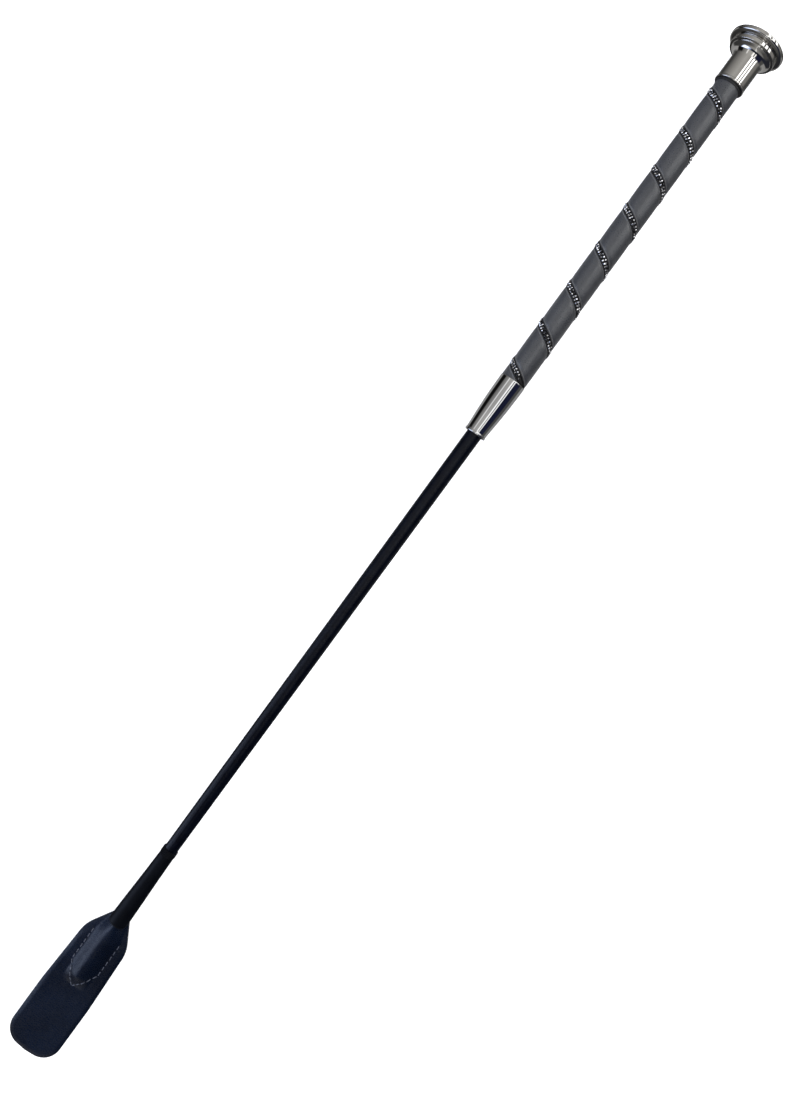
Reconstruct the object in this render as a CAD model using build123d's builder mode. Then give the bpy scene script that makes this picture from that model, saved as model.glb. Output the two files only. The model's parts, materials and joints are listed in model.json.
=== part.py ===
from build123d import *
from math import atan, atan2, cos, degrees, pi, sin
import os

# A riding crop, about 650 mm long, lying on a table: the flared cap of the handle at +X,
# the leather tongue at -X, millimetres, +Z up. Everything is measured along the crop's own
# axis, from the tongue's free end, and the axis rises slightly towards the cap because the
# crop rests on the rim of the cap's flange and on the flat back of the tongue.

# ---- lengths along the axis, from the tongue's free end to the cap's top ----
flap_length = 38.0  # the part of the tongue that flexes
pocket_length = 46.0  # the part sewn round the tip of the rod
neck_length = 44.0  # tapered sleeve over the tongue's tabs
binding_width = 3.4  # bound ring at the sleeve's upper end
shaft_length = 267.8  # braid in view
ferrule_length = 34.0
grip_length = 190.2  # leather in view
cap_sleeve_length = 16.4
flange_height = 10.2

# ---- radii ----
rod_tip_radius = 1.9
rod_neck_radius = 2.9
rod_butt_radius = 4.3
braid_tip_radius = 3.2
braid_neck_radius = 3.65
braid_butt_radius = 4.96
tube_radius = 5.6  # handle tube, outside
padding_radius = 6.1
grip_radius = 7.0  # leather, outside
ferrule_mouth_radius = 5.8
ferrule_waist_radius = 7.05
ferrule_top_radius = 7.3
neck_low_radius = 5.2
neck_high_radius = 4.05
binding_radius = 4.35
sleeve_radius = 8.2  # cap sleeve, outside
flange_radius = 15.4

# ---- leather tongue ----
tongue_half_width = 14.95
tongue_shoulder_half_width = 13.4
tongue_neck_half_width = 6.4
tongue_end_bow = 1.3
tongue_corner_radius = 10.5
shoulder_drop = 12.6  # from the neck to the shoulder's corner, along the axis
shoulder_round = 18.0
leather_thickness = 1.6
pocket_bore = 2.5
tab_length = 16.0
skive_width = 2.3  # bevelled margin on the front leather
skive_depth = 0.9
hinge_gap = 0.3
stitch_length = 2.1
stitch_pitch = 3.0
stitch_width = 0.7
stitch_groove = 0.5
stitch_half_width = 8.2

# ---- spiral of the grip ----
pitch = 24.8
band_phase = 9.5  # first crossing of the +Y side, above the ferrule
band_width = 3.7  # across the band, between the leather's edges
cord_size = 0.5  # square-plaited edge cord
tape_thickness = 0.35
stone_rise = 0.35  # how far the stones stand above the leather

# ---- walls and clearances ----
glue_line = 0.05
slip_clearance = 0.1
metal_wall = 0.6
ring_thickness = 0.3

# ---- stations along the axis ----
hinge_at = flap_length
neck_at = flap_length + pocket_length
binding_at = neck_at + neck_length
shaft_at = binding_at + binding_width
ferrule_at = shaft_at + shaft_length
grip_at = ferrule_at + ferrule_length
cap_at = grip_at + grip_length
flange_at = cap_at + cap_sleeve_length
crop_length = flange_at + flange_height

# ---- the crop's own axis, laid down so that flange and tongue both touch z = 0 ----
tongue_drop = pocket_bore + leather_thickness
rim_rest = 2.2  # from the cap's top to the line of the rim that touches the table
rim_at = crop_length - rim_rest
tilt = atan((flange_radius - tongue_drop) / rim_at)
along = Vector(cos(tilt), 0, sin(tilt))
upward = Vector(-sin(tilt), 0, cos(tilt))
start_x = -(crop_length * cos(tilt) + flange_radius * sin(tilt)) / 2
start = Vector(start_x, 0, tongue_drop * cos(tilt))
side = Plane(origin=start, x_dir=along, z_dir=(0, -1, 0))  # x along the axis, y up
plan = Plane(origin=start, x_dir=along, z_dir=upward)  # x along the axis, y across
crop_axis = Axis(start, along)


def cross_section(station):
    """A plane across the axis at a station, its x to +Y."""
    return Plane(origin=start + along * station, x_dir=(0, 1, 0), z_dir=along)


def braid_radius(station):
    """Outer radius of the braid at a station."""
    if station < shaft_at:
        share = (station - neck_at) / (shaft_at - neck_at)
        return braid_tip_radius + share * (braid_neck_radius - braid_tip_radius)
    share = (station - shaft_at) / (flange_at - shaft_at)
    return braid_neck_radius + share * (braid_butt_radius - braid_neck_radius)


# ================================ rod and braid ================================
rod_setback = 12.0  # from the flex line to the rod's tip
rod_start = flap_length + rod_setback
rod_short = 10.0  # the rod stops this far below the flange
rod_end = flange_at - rod_short
rod_tip_round = 0.8

with BuildPart() as core_rod:
    with BuildSketch(side):
        with BuildLine():
            Polyline(
                (rod_start, 0),
                (rod_start, rod_tip_radius),
                (shaft_at, rod_neck_radius),
                (rod_end, rod_butt_radius),
                (rod_end, 0),
                close=True,
            )
        make_face()
    revolve(axis=crop_axis)
    fillet(core_rod.edges().sort_by(Axis.X)[0], radius=rod_tip_round)

tip_cap_wall = 0.4
tip_cap_length = 12.0
tip_cap_radius = pocket_bore - slip_clearance

with BuildPart() as rod_tip_cap:
    with BuildSketch(side):
        with BuildLine():
            Polyline(
                (rod_start - tip_cap_wall - glue_line, 0),
                (rod_start - tip_cap_wall - glue_line, tip_cap_radius),
                (rod_start + tip_cap_length, tip_cap_radius),
                (rod_start + tip_cap_length, 0),
                close=True,
            )
        make_face()
    revolve(axis=crop_axis)
    fillet(rod_tip_cap.edges().sort_by(Axis.X)[0], radius=rod_tip_round)
    with BuildSketch(side):
        with BuildLine():
            Polyline(
                (rod_start - glue_line, 0),
                (rod_start - glue_line, rod_tip_radius + glue_line),
                (shaft_at, rod_neck_radius + glue_line),
                (shaft_at, 0),
                close=True,
            )
        make_face()
    revolve(axis=crop_axis, mode=Mode.SUBTRACT)

braid_inset = 4.0  # the braid starts this far inside the neck
braid_start = neck_at + braid_inset

with BuildPart() as braid_cover:
    with BuildSketch(side):
        with BuildLine():
            Polyline(
                (braid_start, 0),
                (braid_start, braid_radius(braid_start)),
                (shaft_at, braid_radius(shaft_at)),
                (rod_end, braid_radius(rod_end)),
                (rod_end, 0),
                close=True,
            )
        make_face()
    revolve(axis=crop_axis)
    with BuildSketch(side):
        with BuildLine():
            Polyline(
                (rod_start, 0),
                (rod_start, rod_tip_radius + glue_line),
                (shaft_at, rod_neck_radius + glue_line),
                (rod_end, rod_butt_radius + glue_line),
                (rod_end, 0),
                close=True,
            )
        make_face()
    revolve(axis=crop_axis, mode=Mode.SUBTRACT)

# ================================ handle ================================
tube_below_grip = 21.0  # the handle tube runs on inside the ferrule
tube_below_flange = 3.4
tube_start = grip_at - tube_below_grip
tube_end = flange_at - tube_below_flange

with BuildPart() as handle_tube:
    with BuildSketch(side):
        with BuildLine():
            Polyline(
                (tube_start, braid_radius(tube_start) + glue_line),
                (tube_start, tube_radius),
                (tube_end, tube_radius),
                (tube_end, braid_radius(tube_end) + glue_line),
                close=True,
            )
        make_face()
    revolve(axis=crop_axis)

leather_in_cap = 6.6  # the leather runs on inside the cap's sleeve
leather_end = cap_at + leather_in_cap

with BuildPart() as grip_padding:
    with BuildSketch(side):
        with BuildLine():
            Polyline(
                (grip_at + glue_line, tube_radius + glue_line),
                (grip_at + glue_line, padding_radius),
                (leather_end, padding_radius),
                (leather_end, tube_radius + glue_line),
                close=True,
            )
        make_face()
    revolve(axis=crop_axis)

# The spiral is left-handed. Its centre line crosses the +Y side of the crop one pitch apart.
lead_angle = atan(pitch / (2 * pi * grip_radius))
axial_share = 1 / cos(lead_angle)


def spiral(radius, shift, begin, finish):
    """A left-handed helix about the crop's axis, shifted along it from the band's centre line."""
    base = Edge.make_helix(pitch, finish - begin, radius, (0, 0, 0), (0, 0, 1), 0, True)
    turned = base.moved(Location((0, 0, 0), (0, 0, 1), spiral_angle(begin - shift)))
    return turned.moved(Location(cross_section(begin)))


def across(path, station):
    """The plane across a spiral path at its start, its x pointing away from the crop's axis."""
    outward = (path @ 0) - (start + along * station)
    return Plane(origin=path @ 0, x_dir=outward, z_dir=path % 0)


def spiral_angle(station):
    """Degrees from +Y towards +Z at which the band's centre line passes a station."""
    return -360 * (station - grip_at - band_phase) / pitch


channel_over = 3.0
channel_under_cut = 0.2
channel_over_cut = 0.6
channel_low = padding_radius - channel_under_cut
channel_high = grip_radius + channel_over_cut
channel_mid = (channel_low + channel_high) / 2
channel_start = grip_at - channel_over
channel_path = spiral(channel_mid, 0, channel_start, leather_end + channel_over)

with BuildPart() as grip_leather:
    with BuildSketch(side):
        with BuildLine():
            Polyline(
                (grip_at + glue_line, padding_radius + glue_line),
                (grip_at + glue_line, grip_radius),
                (leather_end, grip_radius),
                (leather_end, padding_radius + glue_line),
                close=True,
            )
        make_face()
    revolve(axis=crop_axis)
    with BuildSketch(across(channel_path, channel_start)):
        Rectangle(channel_high - channel_low, band_width)
    sweep(path=channel_path, is_frenet=True, mode=Mode.SUBTRACT)

tape_radius = padding_radius + glue_line + tape_thickness / 2
tape_start_gap = 2.2
tape_end_gap = 2.0
tape_start = grip_at + tape_start_gap
tape_end = leather_end - tape_end_gap
tape_path = spiral(tape_radius, 0, tape_start, tape_end)

with BuildPart() as band_tape:
    with BuildSketch(across(tape_path, tape_start)):
        Rectangle(tape_thickness, band_width - 2 * slip_clearance - 2 * glue_line)
    sweep(path=tape_path, is_frenet=True)

seat_gap = 3 * glue_line  # under the cords and the stones, and between them
stone_size = band_width / 2 - slip_clearance - cord_size - seat_gap  # two rows fill the band
cord_radius = padding_radius + tape_thickness + seat_gap + cord_size / 2
cord_shift = (band_width / 2 - slip_clearance - cord_size / 2) * axial_share
cord_start_gap = 3.4
cord_end_gap = 4.6
cord_start = grip_at + cord_start_gap
cord_end = cap_at - cord_end_gap
lower_path = spiral(cord_radius, -cord_shift, cord_start, cord_end)
upper_path = spiral(cord_radius, cord_shift, cord_start, cord_end)

with BuildPart() as band_cord_lower:
    with BuildSketch(across(lower_path, cord_start)):
        Rectangle(cord_size, cord_size)
    sweep(path=lower_path, is_frenet=True)

with BuildPart() as band_cord_upper:
    with BuildSketch(across(upper_path, cord_start)):
        Rectangle(cord_size, cord_size)
    sweep(path=upper_path, is_frenet=True)

# Each row of stones is one plain strip here, as wide and as high as the stones that it carries.
row_base = padding_radius + tape_thickness + seat_gap
row_height = grip_radius + stone_rise - row_base
row_radius = row_base + row_height / 2
row_shift = (stone_size / 2 + glue_line) * axial_share
lower_row_path = spiral(row_radius, -row_shift, cord_start, cord_end)
upper_row_path = spiral(row_radius, row_shift, cord_start, cord_end)

with BuildPart() as stone_row_lower:
    with BuildSketch(across(lower_row_path, cord_start)):
        Rectangle(row_height, stone_size)
    sweep(path=lower_row_path, is_frenet=True)

with BuildPart() as stone_row_upper:
    with BuildSketch(across(upper_row_path, cord_start)):
        Rectangle(row_height, stone_size)
    sweep(path=upper_row_path, is_frenet=True)

# ================================ ferrule ================================
waist_rise = 19.0  # from the ferrule's mouth to where its taper eases
waist_at = ferrule_at + waist_rise
bead_width = 1.0
bead_height = 0.2

with BuildPart() as ferrule:
    with BuildSketch(side):
        with BuildLine():
            Polyline(
                (ferrule_at, ferrule_mouth_radius - metal_wall),
                (ferrule_at, ferrule_mouth_radius + bead_height),
                (ferrule_at + bead_width, ferrule_mouth_radius + bead_height),
                (ferrule_at + bead_width, ferrule_mouth_radius),
                (waist_at, ferrule_waist_radius),
                (grip_at, ferrule_top_radius),
                (grip_at, ferrule_top_radius - metal_wall),
                (waist_at, ferrule_waist_radius - metal_wall),
                close=True,
            )
        make_face()
    revolve(axis=crop_axis)

bush_inset = 1.2
bush_start = ferrule_at + bush_inset
bush_start_radius = ferrule_mouth_radius - metal_wall - slip_clearance

with BuildPart() as ferrule_bush:
    with BuildSketch(side):
        with BuildLine():
            Polyline(
                (bush_start, braid_radius(bush_start) + glue_line),
                (bush_start, bush_start_radius),
                (waist_at, ferrule_waist_radius - metal_wall - slip_clearance),
                (grip_at - glue_line, ferrule_top_radius - metal_wall - slip_clearance),
                (grip_at - glue_line, tube_radius + glue_line),
                (tube_start - glue_line, tube_radius + glue_line),
                (tube_start - glue_line, braid_radius(tube_start) + glue_line),
                close=True,
            )
        make_face()
    revolve(axis=crop_axis)

# ================================ neck ================================
sleeve_wall = 0.4
tab_tip_wall = 0.25
tab_tip_radius = braid_radius(neck_at + tab_length) + glue_line + tab_tip_wall
neck_bore_low = neck_low_radius - sleeve_wall
neck_bore_high = braid_radius(binding_at) + glue_line

with BuildPart() as neck_sleeve:
    with BuildSketch(side):
        with BuildLine():
            Polyline(
                (neck_at, neck_bore_low),
                (neck_at, neck_low_radius),
                (binding_at, neck_high_radius),
                (binding_at, neck_bore_high),
                (neck_at + tab_length, tab_tip_radius + glue_line),
                close=True,
            )
        make_face()
    revolve(axis=crop_axis)

with BuildPart() as neck_binding:
    with BuildSketch(side):
        with BuildLine():
            Polyline(
                (binding_at, neck_bore_high),
                (binding_at, binding_radius),
                (shaft_at, binding_radius),
                (shaft_at, neck_bore_high),
                close=True,
            )
        make_face()
    revolve(axis=crop_axis)
    outer_edges = neck_binding.edges().filter_by(GeomType.CIRCLE).group_by(SortBy.RADIUS)[-1]
    fillet(outer_edges, radius=(binding_radius - neck_high_radius) / 2)

# ================================ cap ================================
cap_bore = grip_radius + slip_clearance + ring_thickness + slip_clearance
flare_radius = 11.5
flare_height = 3.5
flare_curve = 4.2
bead_chamfer = 0.4
bead_outer = 13.0
rim_height = 3.6
rim_at_base = crop_length - rim_height
chamber_radius = 10.4
web_height = 3.6  # from the flange's start to the chamber's floor
disc_recess = 1.2
rim_round = 1.5
chamber_floor = flange_at + web_height
chamber_roof = crop_length - disc_recess
disc_radius = 12.4
disc_seat_radius = disc_radius + slip_clearance
tube_gap = 0.2
web_at = tube_end + tube_gap

with BuildPart() as cap_body:
    with BuildSketch(side):
        with BuildLine():
            Polyline(
                (crop_length, disc_seat_radius),
                (chamber_roof, disc_seat_radius),
                (chamber_roof, chamber_radius),
                (chamber_floor, chamber_radius),
                (chamber_floor, cap_bore),
                (cap_at, cap_bore),
                (cap_at, sleeve_radius),
                (flange_at, sleeve_radius),
            )
            RadiusArc((flange_at, sleeve_radius), (flange_at + flare_height, flare_radius), -flare_curve)
            Polyline(
                (flange_at + flare_height, flare_radius),
                (flange_at + flare_height, bead_outer - bead_chamfer),
                (flange_at + flare_height + bead_chamfer, bead_outer),
                (rim_at_base - bead_chamfer, bead_outer),
                (rim_at_base, bead_outer - bead_chamfer),
                (rim_at_base, flange_radius),
                (crop_length, flange_radius),
                (crop_length, disc_seat_radius),
            )
        make_face()
    revolve(axis=crop_axis)
    rim_edges = cap_body.edges().filter_by(GeomType.CIRCLE).group_by(SortBy.RADIUS)[-1]
    fillet(rim_edges, radius=rim_round)

plug_play = 0.1
spigot_length = 6.0
spigot_play = 0.2
spigot_radius = braid_radius(tube_end) - spigot_play

with BuildPart() as cap_plug:
    with BuildSketch(side):
        with BuildLine():
            Polyline(
                (tube_end - spigot_length, 0),
                (tube_end - spigot_length, spigot_radius),
                (web_at, spigot_radius),
                (web_at, cap_bore - plug_play),
                (chamber_floor + plug_play, cap_bore - plug_play),
                (chamber_floor + plug_play, chamber_radius - plug_play),
                (chamber_roof - plug_play, chamber_radius - plug_play),
                (chamber_roof - plug_play, 0),
                close=True,
            )
        make_face()
    revolve(axis=crop_axis)

disc_drop = 0.1  # the disc lies this far below the rim
disc_chamfer = 0.3

with BuildPart() as cap_disc:
    with BuildSketch(side):
        with BuildLine():
            Polyline(
                (chamber_roof + glue_line, 0),
                (chamber_roof + glue_line, disc_radius),
                (crop_length - disc_drop - disc_chamfer, disc_radius),
                (crop_length - disc_drop, disc_radius - disc_chamfer),
                (crop_length - disc_drop, 0),
                close=True,
            )
        make_face()
    revolve(axis=crop_axis)

ring_stand = 1.3  # the ring shows below the cap's mouth by this much
ring_depth = 3.9  # and goes this far into it

with BuildPart() as cap_mouth_ring:
    with BuildSketch(side):
        with BuildLine():
            Polyline(
                (cap_at - ring_stand, grip_radius + slip_clearance),
                (cap_at - ring_stand, grip_radius + slip_clearance + ring_thickness),
                (cap_at + ring_depth, grip_radius + slip_clearance + ring_thickness),
                (cap_at + ring_depth, grip_radius + slip_clearance),
                close=True,
            )
        make_face()
    revolve(axis=crop_axis)

# ================================ tongue ================================
shoulder_at = neck_at - shoulder_drop
widest_at = flap_length - 2.0
mid_level = -pocket_bore  # the two leathers meet here, tangent to the bore
hinge_radius = leather_thickness

with BuildSketch(plan) as tongue_outline:
    with BuildLine():
        Polyline(
            (tongue_end_bow, tongue_half_width),
            (widest_at, tongue_half_width),
            (shoulder_at, tongue_shoulder_half_width),
            (neck_at, tongue_neck_half_width),
            (neck_at, -tongue_neck_half_width),
            (shoulder_at, -tongue_shoulder_half_width),
            (widest_at, -tongue_half_width),
            (tongue_end_bow, -tongue_half_width),
        )
        ThreePointArc(
            (tongue_end_bow, -tongue_half_width),
            (0, 0),
            (tongue_end_bow, tongue_half_width),
        )
    make_face()
    end_corners = tongue_outline.vertices().sort_by(crop_axis)[:2]
    fillet(end_corners, radius=tongue_corner_radius)
    shoulders = tongue_outline.vertices().sort_by(crop_axis)[-4:-2]
    fillet(shoulders, radius=shoulder_round)

# The flap's two leathers turn together about a line across the tongue, just past the stitching.
# Their root is rounded about that line, and the sewn leathers stop clear of it.
pocket_at = hinge_at + hinge_radius + hinge_gap
reach = 2 * tongue_half_width  # wide enough for any cut across the tongue

with BuildPart() as front_leather:
    with BuildSketch(plan.offset(mid_level)):
        add(tongue_outline.sketch_local)
    extrude(amount=leather_thickness)
    front_face = front_leather.faces().filter_by(plan).sort_by(Axis(start, upward))[-1]
    free_edges = front_face.edges().sort_by(crop_axis)[:-1]
    chamfer(free_edges, length=skive_width, length2=skive_depth, reference=front_face)

with BuildPart() as back_leather:
    with BuildSketch(plan.offset(mid_level - leather_thickness)):
        add(tongue_outline.sketch_local)
    extrude(amount=leather_thickness)

with BuildPart() as behind_hinge:
    with BuildSketch(side):
        with Locations((hinge_at + reach, mid_level)):
            Rectangle(2 * reach, 2 * reach)
    extrude(amount=reach, both=True)

with BuildPart() as before_pocket:
    with BuildSketch(side):
        with Locations((pocket_at - reach, mid_level)):
            Rectangle(2 * reach, 2 * reach)
    extrude(amount=reach, both=True)

with BuildPart() as hinge_root:
    with BuildSketch(side):
        with Locations((hinge_at, mid_level)):
            Circle(hinge_radius)
    extrude(amount=tongue_half_width - skive_width, both=True)

with BuildPart() as tongue_front_flap:
    add(front_leather.part)
    add(behind_hinge.part, mode=Mode.SUBTRACT)
    add(hinge_root.part)
    split(bisect_by=plan.offset(mid_level), keep=Keep.TOP)

with BuildPart() as tongue_back_flap:
    add(back_leather.part)
    add(behind_hinge.part, mode=Mode.SUBTRACT)
    add(hinge_root.part)
    split(bisect_by=plan.offset(mid_level), keep=Keep.BOTTOM)

stitch_top_drop = 9.9  # the sewn line's corners, measured down from the neck
stitch_turn_drop = 29.7
stitch_point_drop = 41.7
stitch_top = neck_at - stitch_top_drop
stitch_turn = neck_at - stitch_turn_drop
stitch_point = neck_at - stitch_point_drop
stitch_corners = [
    (stitch_top, stitch_half_width),
    (stitch_turn, stitch_half_width),
    (stitch_point, 0),
    (stitch_turn, -stitch_half_width),
    (stitch_top, -stitch_half_width),
]

with BuildPart() as stitch_grooves:
    with BuildSketch(plan.offset(mid_level + leather_thickness)) as stitch_path:
        with BuildLine():
            Polyline(*stitch_corners)
        trace(line_width=stitch_width)
    extrude(amount=-stitch_groove)
    with BuildSketch(plan.offset(mid_level - leather_thickness)):
        add(stitch_path.sketch_local)
    extrude(amount=stitch_groove)

bulge_low = pocket_bore + leather_thickness
bulge_start = rod_start - tip_cap_wall - slip_clearance - leather_thickness
tab_root_radius = neck_bore_low - glue_line

with BuildPart() as rod_space:
    with BuildSketch(side):
        with BuildLine():
            Polyline(
                (bulge_start + leather_thickness, 0),
                (bulge_start + leather_thickness, pocket_bore),
                (neck_at, pocket_bore),
                (braid_start - glue_line, braid_radius(braid_start) + glue_line),
                (neck_at + tab_length, braid_radius(neck_at + tab_length) + glue_line),
                (neck_at + tab_length, 0),
                close=True,
            )
        make_face()
    revolve(axis=crop_axis)

with BuildPart() as tongue_front_pocket:
    with BuildSketch(side):
        with BuildLine():
            Polyline(
                (bulge_start, 0),
                (bulge_start, pocket_bore),
                (bulge_start + leather_thickness, bulge_low),
                (neck_at - tab_length / 2, bulge_low),
                (neck_at, tab_root_radius),
                (neck_at + tab_length, tab_tip_radius),
                (neck_at + tab_length, 0),
                close=True,
            )
        make_face()
    revolve(axis=crop_axis)
    with BuildSketch(side):
        with BuildLine():
            Polyline(
                (pocket_at, mid_level),
                (neck_at, mid_level),
                (neck_at, glue_line),
                (neck_at + reach, glue_line),
                (neck_at + reach, -reach),
                (pocket_at, -reach),
                close=True,
            )
        make_face()
    extrude(amount=reach, both=True, mode=Mode.SUBTRACT)
    add(front_leather.part)
    add(before_pocket.part, mode=Mode.SUBTRACT)
    add(rod_space.part, mode=Mode.SUBTRACT)
    add(stitch_grooves.part, mode=Mode.SUBTRACT)

with BuildPart() as tongue_back_pocket:
    with BuildSketch(side):
        with BuildLine():
            Polyline(
                (neck_at, 0),
                (neck_at, tab_root_radius),
                (neck_at + tab_length, tab_tip_radius),
                (neck_at + tab_length, 0),
                close=True,
            )
        make_face()
    revolve(axis=crop_axis)
    split(bisect_by=plan.offset(-glue_line), keep=Keep.BOTTOM)
    add(back_leather.part)
    add(before_pocket.part, mode=Mode.SUBTRACT)
    add(rod_space.part, mode=Mode.SUBTRACT)
    add(stitch_grooves.part, mode=Mode.SUBTRACT)

thread_width = stitch_width - 2 * slip_clearance
thread_height = stitch_groove - slip_clearance


def stitch_places():
    """Centres and directions of the stitches along the sewn line, evenly spaced on each leg."""
    places = []
    for begin, finish in zip(stitch_corners, stitch_corners[1:]):
        leg = Vector(*finish) - Vector(*begin)
        count = int(leg.length / stitch_pitch)
        for index in range(count):
            centre = Vector(*begin) + leg * ((index + 0.5) / count)
            places.append(Location((centre.X, centre.Y, 0), (0, 0, 1), degrees(atan2(leg.Y, leg.X))))
    return places


with BuildPart() as pocket_stitching:
    with BuildSketch(plan.offset(mid_level + leather_thickness - stitch_groove + glue_line)) as stitches:
        with Locations(*stitch_places()):
            SlotOverall(stitch_length, thread_width)
    extrude(amount=thread_height)
    with BuildSketch(plan.offset(mid_level - leather_thickness + glue_line)):
        add(stitches.sketch_local)
    extrude(amount=thread_height)

# ================================ export ================================
os.makedirs("parts", exist_ok=True)

core_rod.part.label = "core_rod"
export_step(core_rod.part, "parts/core_rod.step")
rod_tip_cap.part.label = "rod_tip_cap"
export_step(rod_tip_cap.part, "parts/rod_tip_cap.step")
braid_cover.part.label = "braid_cover"
export_step(braid_cover.part, "parts/braid_cover.step")
handle_tube.part.label = "handle_tube"
export_step(handle_tube.part, "parts/handle_tube.step")
grip_padding.part.label = "grip_padding"
export_step(grip_padding.part, "parts/grip_padding.step")
grip_leather.part.label = "grip_leather"
export_step(grip_leather.part, "parts/grip_leather.step")
band_tape.part.label = "band_tape"
export_step(band_tape.part, "parts/band_tape.step")
band_cord_lower.part.label = "band_cord_lower"
export_step(band_cord_lower.part, "parts/band_cord_lower.step")
band_cord_upper.part.label = "band_cord_upper"
export_step(band_cord_upper.part, "parts/band_cord_upper.step")
stone_row_lower.part.label = "stone_row_lower"
export_step(stone_row_lower.part, "parts/stone_row_lower.step")
stone_row_upper.part.label = "stone_row_upper"
export_step(stone_row_upper.part, "parts/stone_row_upper.step")
ferrule.part.label = "ferrule"
export_step(ferrule.part, "parts/ferrule.step")
ferrule_bush.part.label = "ferrule_bush"
export_step(ferrule_bush.part, "parts/ferrule_bush.step")
neck_sleeve.part.label = "neck_sleeve"
export_step(neck_sleeve.part, "parts/neck_sleeve.step")
neck_binding.part.label = "neck_binding"
export_step(neck_binding.part, "parts/neck_binding.step")
cap_body.part.label = "cap_body"
export_step(cap_body.part, "parts/cap_body.step")
cap_plug.part.label = "cap_plug"
export_step(cap_plug.part, "parts/cap_plug.step")
cap_disc.part.label = "cap_disc"
export_step(cap_disc.part, "parts/cap_disc.step")
cap_mouth_ring.part.label = "cap_mouth_ring"
export_step(cap_mouth_ring.part, "parts/cap_mouth_ring.step")
tongue_front_pocket.part.label = "tongue_front_pocket"
export_step(tongue_front_pocket.part, "parts/tongue_front_pocket.step")
tongue_back_pocket.part.label = "tongue_back_pocket"
export_step(tongue_back_pocket.part, "parts/tongue_back_pocket.step")
tongue_front_flap.part.label = "tongue_front_flap"
export_step(tongue_front_flap.part, "parts/tongue_front_flap.step")
tongue_back_flap.part.label = "tongue_back_flap"
export_step(tongue_back_flap.part, "parts/tongue_back_flap.step")
pocket_stitching.part.label = "pocket_stitching"
export_step(pocket_stitching.part, "parts/pocket_stitching.step")
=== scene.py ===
"""The looks of a riding crop: turned metal, spiral leather grip, braided shaft, leather tongue."""

import enum
import json
import logging
import math
import random
from dataclasses import dataclass, field
from typing import Callable, NamedTuple, Sequence

import bpy
from mathutils import Matrix, Vector


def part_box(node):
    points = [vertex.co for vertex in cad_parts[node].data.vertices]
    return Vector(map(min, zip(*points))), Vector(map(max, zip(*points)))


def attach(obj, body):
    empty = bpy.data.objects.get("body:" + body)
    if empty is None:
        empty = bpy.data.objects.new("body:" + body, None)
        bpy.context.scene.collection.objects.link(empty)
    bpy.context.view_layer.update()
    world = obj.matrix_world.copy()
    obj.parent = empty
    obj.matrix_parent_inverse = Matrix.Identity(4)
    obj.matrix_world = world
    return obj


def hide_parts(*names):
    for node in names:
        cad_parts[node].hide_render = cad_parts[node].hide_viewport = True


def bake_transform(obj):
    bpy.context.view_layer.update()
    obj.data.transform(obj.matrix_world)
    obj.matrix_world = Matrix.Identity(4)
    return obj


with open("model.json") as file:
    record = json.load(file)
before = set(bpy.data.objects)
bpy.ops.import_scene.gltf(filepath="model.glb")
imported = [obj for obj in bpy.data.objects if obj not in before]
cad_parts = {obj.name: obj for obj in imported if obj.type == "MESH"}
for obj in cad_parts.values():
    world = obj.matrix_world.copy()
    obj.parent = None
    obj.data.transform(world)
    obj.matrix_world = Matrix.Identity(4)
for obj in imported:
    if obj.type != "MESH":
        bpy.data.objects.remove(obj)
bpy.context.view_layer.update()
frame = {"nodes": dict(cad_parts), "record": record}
MM = 0.001
FULL_TURN = 2.0 * math.pi
TINY = 1e-9
CROP_BODY = "crop"
LEG_SHARE = 0.49  # of a leg between two rounded corners, so that their roundings never meet
END_LEG_SHARE = 0.95  # of a leg with one rounded corner

Point = tuple[float, float]
Corner = tuple[float, float, float]
Colour = tuple[float, float, float, float]
Height = Callable[[float, float], float]
Piece = bpy.types.Object
Socket = bpy.types.NodeSocket

log = logging.getLogger("riding_crop")


# --------------------------------------------------------------------------- the crop's axis
class CropAxis:
    """The crop's own axis, from the tongue's free end to the cap, read from the frame."""

    def __init__(self) -> None:
        """Reads the axis from the cap sleeve's mount and the tongue's box."""
        mounts = {mount["name"]: mount for mount in frame["record"]["mounts"]}
        sleeve = mounts["cap_sleeve"]
        self.along = -Vector(sleeve["axis"]).normalized()
        self.across = Vector((0, 1, 0))
        self.up = self.along.cross(self.across)
        on_axis = Vector(sleeve["pos_m"])
        tongue_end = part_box("tongue_back_flap")[0]
        reach = (on_axis.x - tongue_end.x) / self.along.x
        self.start = on_axis - self.along * reach

    def at(self, station: float, side: float = 0.0, height: float = 0.0) -> Vector:
        """A point given by its station along the axis, its side offset and its height, in mm.

        Args:
            station: distance from the tongue's free end.
            side: distance towards +Y.
            height: distance above the axis.

        Returns:
            The point in the frame, in metres.
        """
        return self.start + (self.along * station + self.across * side + self.up * height) * MM

    def turn(self) -> Matrix:
        """Rotation that lays local X across, local Y up and local Z along the axis."""
        return Matrix((self.across, self.up, self.along)).transposed()

    def stretch(self, node: str) -> tuple[float, float]:
        """First and last station of a CAD node, in mm.

        Args:
            node: the CAD node's name.

        Returns:
            The two stations.
        """
        low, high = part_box(node)
        half = (high.y - low.y) / 2
        lean = half * self.along.z
        first = (low.x + lean - self.start.x) / self.along.x
        last = (high.x - lean - self.start.x) / self.along.x
        return first / MM, last / MM


AXIS = CropAxis()


def half_width(node: str) -> float:
    """Half of a CAD node's extent along Y, in mm."""
    low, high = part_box(node)
    return (high.y - low.y) / 2 / MM


# --------------------------------------------------------------------------- outlines
def clamp(value: float) -> float:
    """Keeps a value in 0 to 1."""
    return min(1.0, max(0.0, value))


def smoothstep(value: float) -> float:
    """Smooth step from 0 to 1."""
    share = clamp(value)
    return share * share * (3.0 - 2.0 * share)


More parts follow.
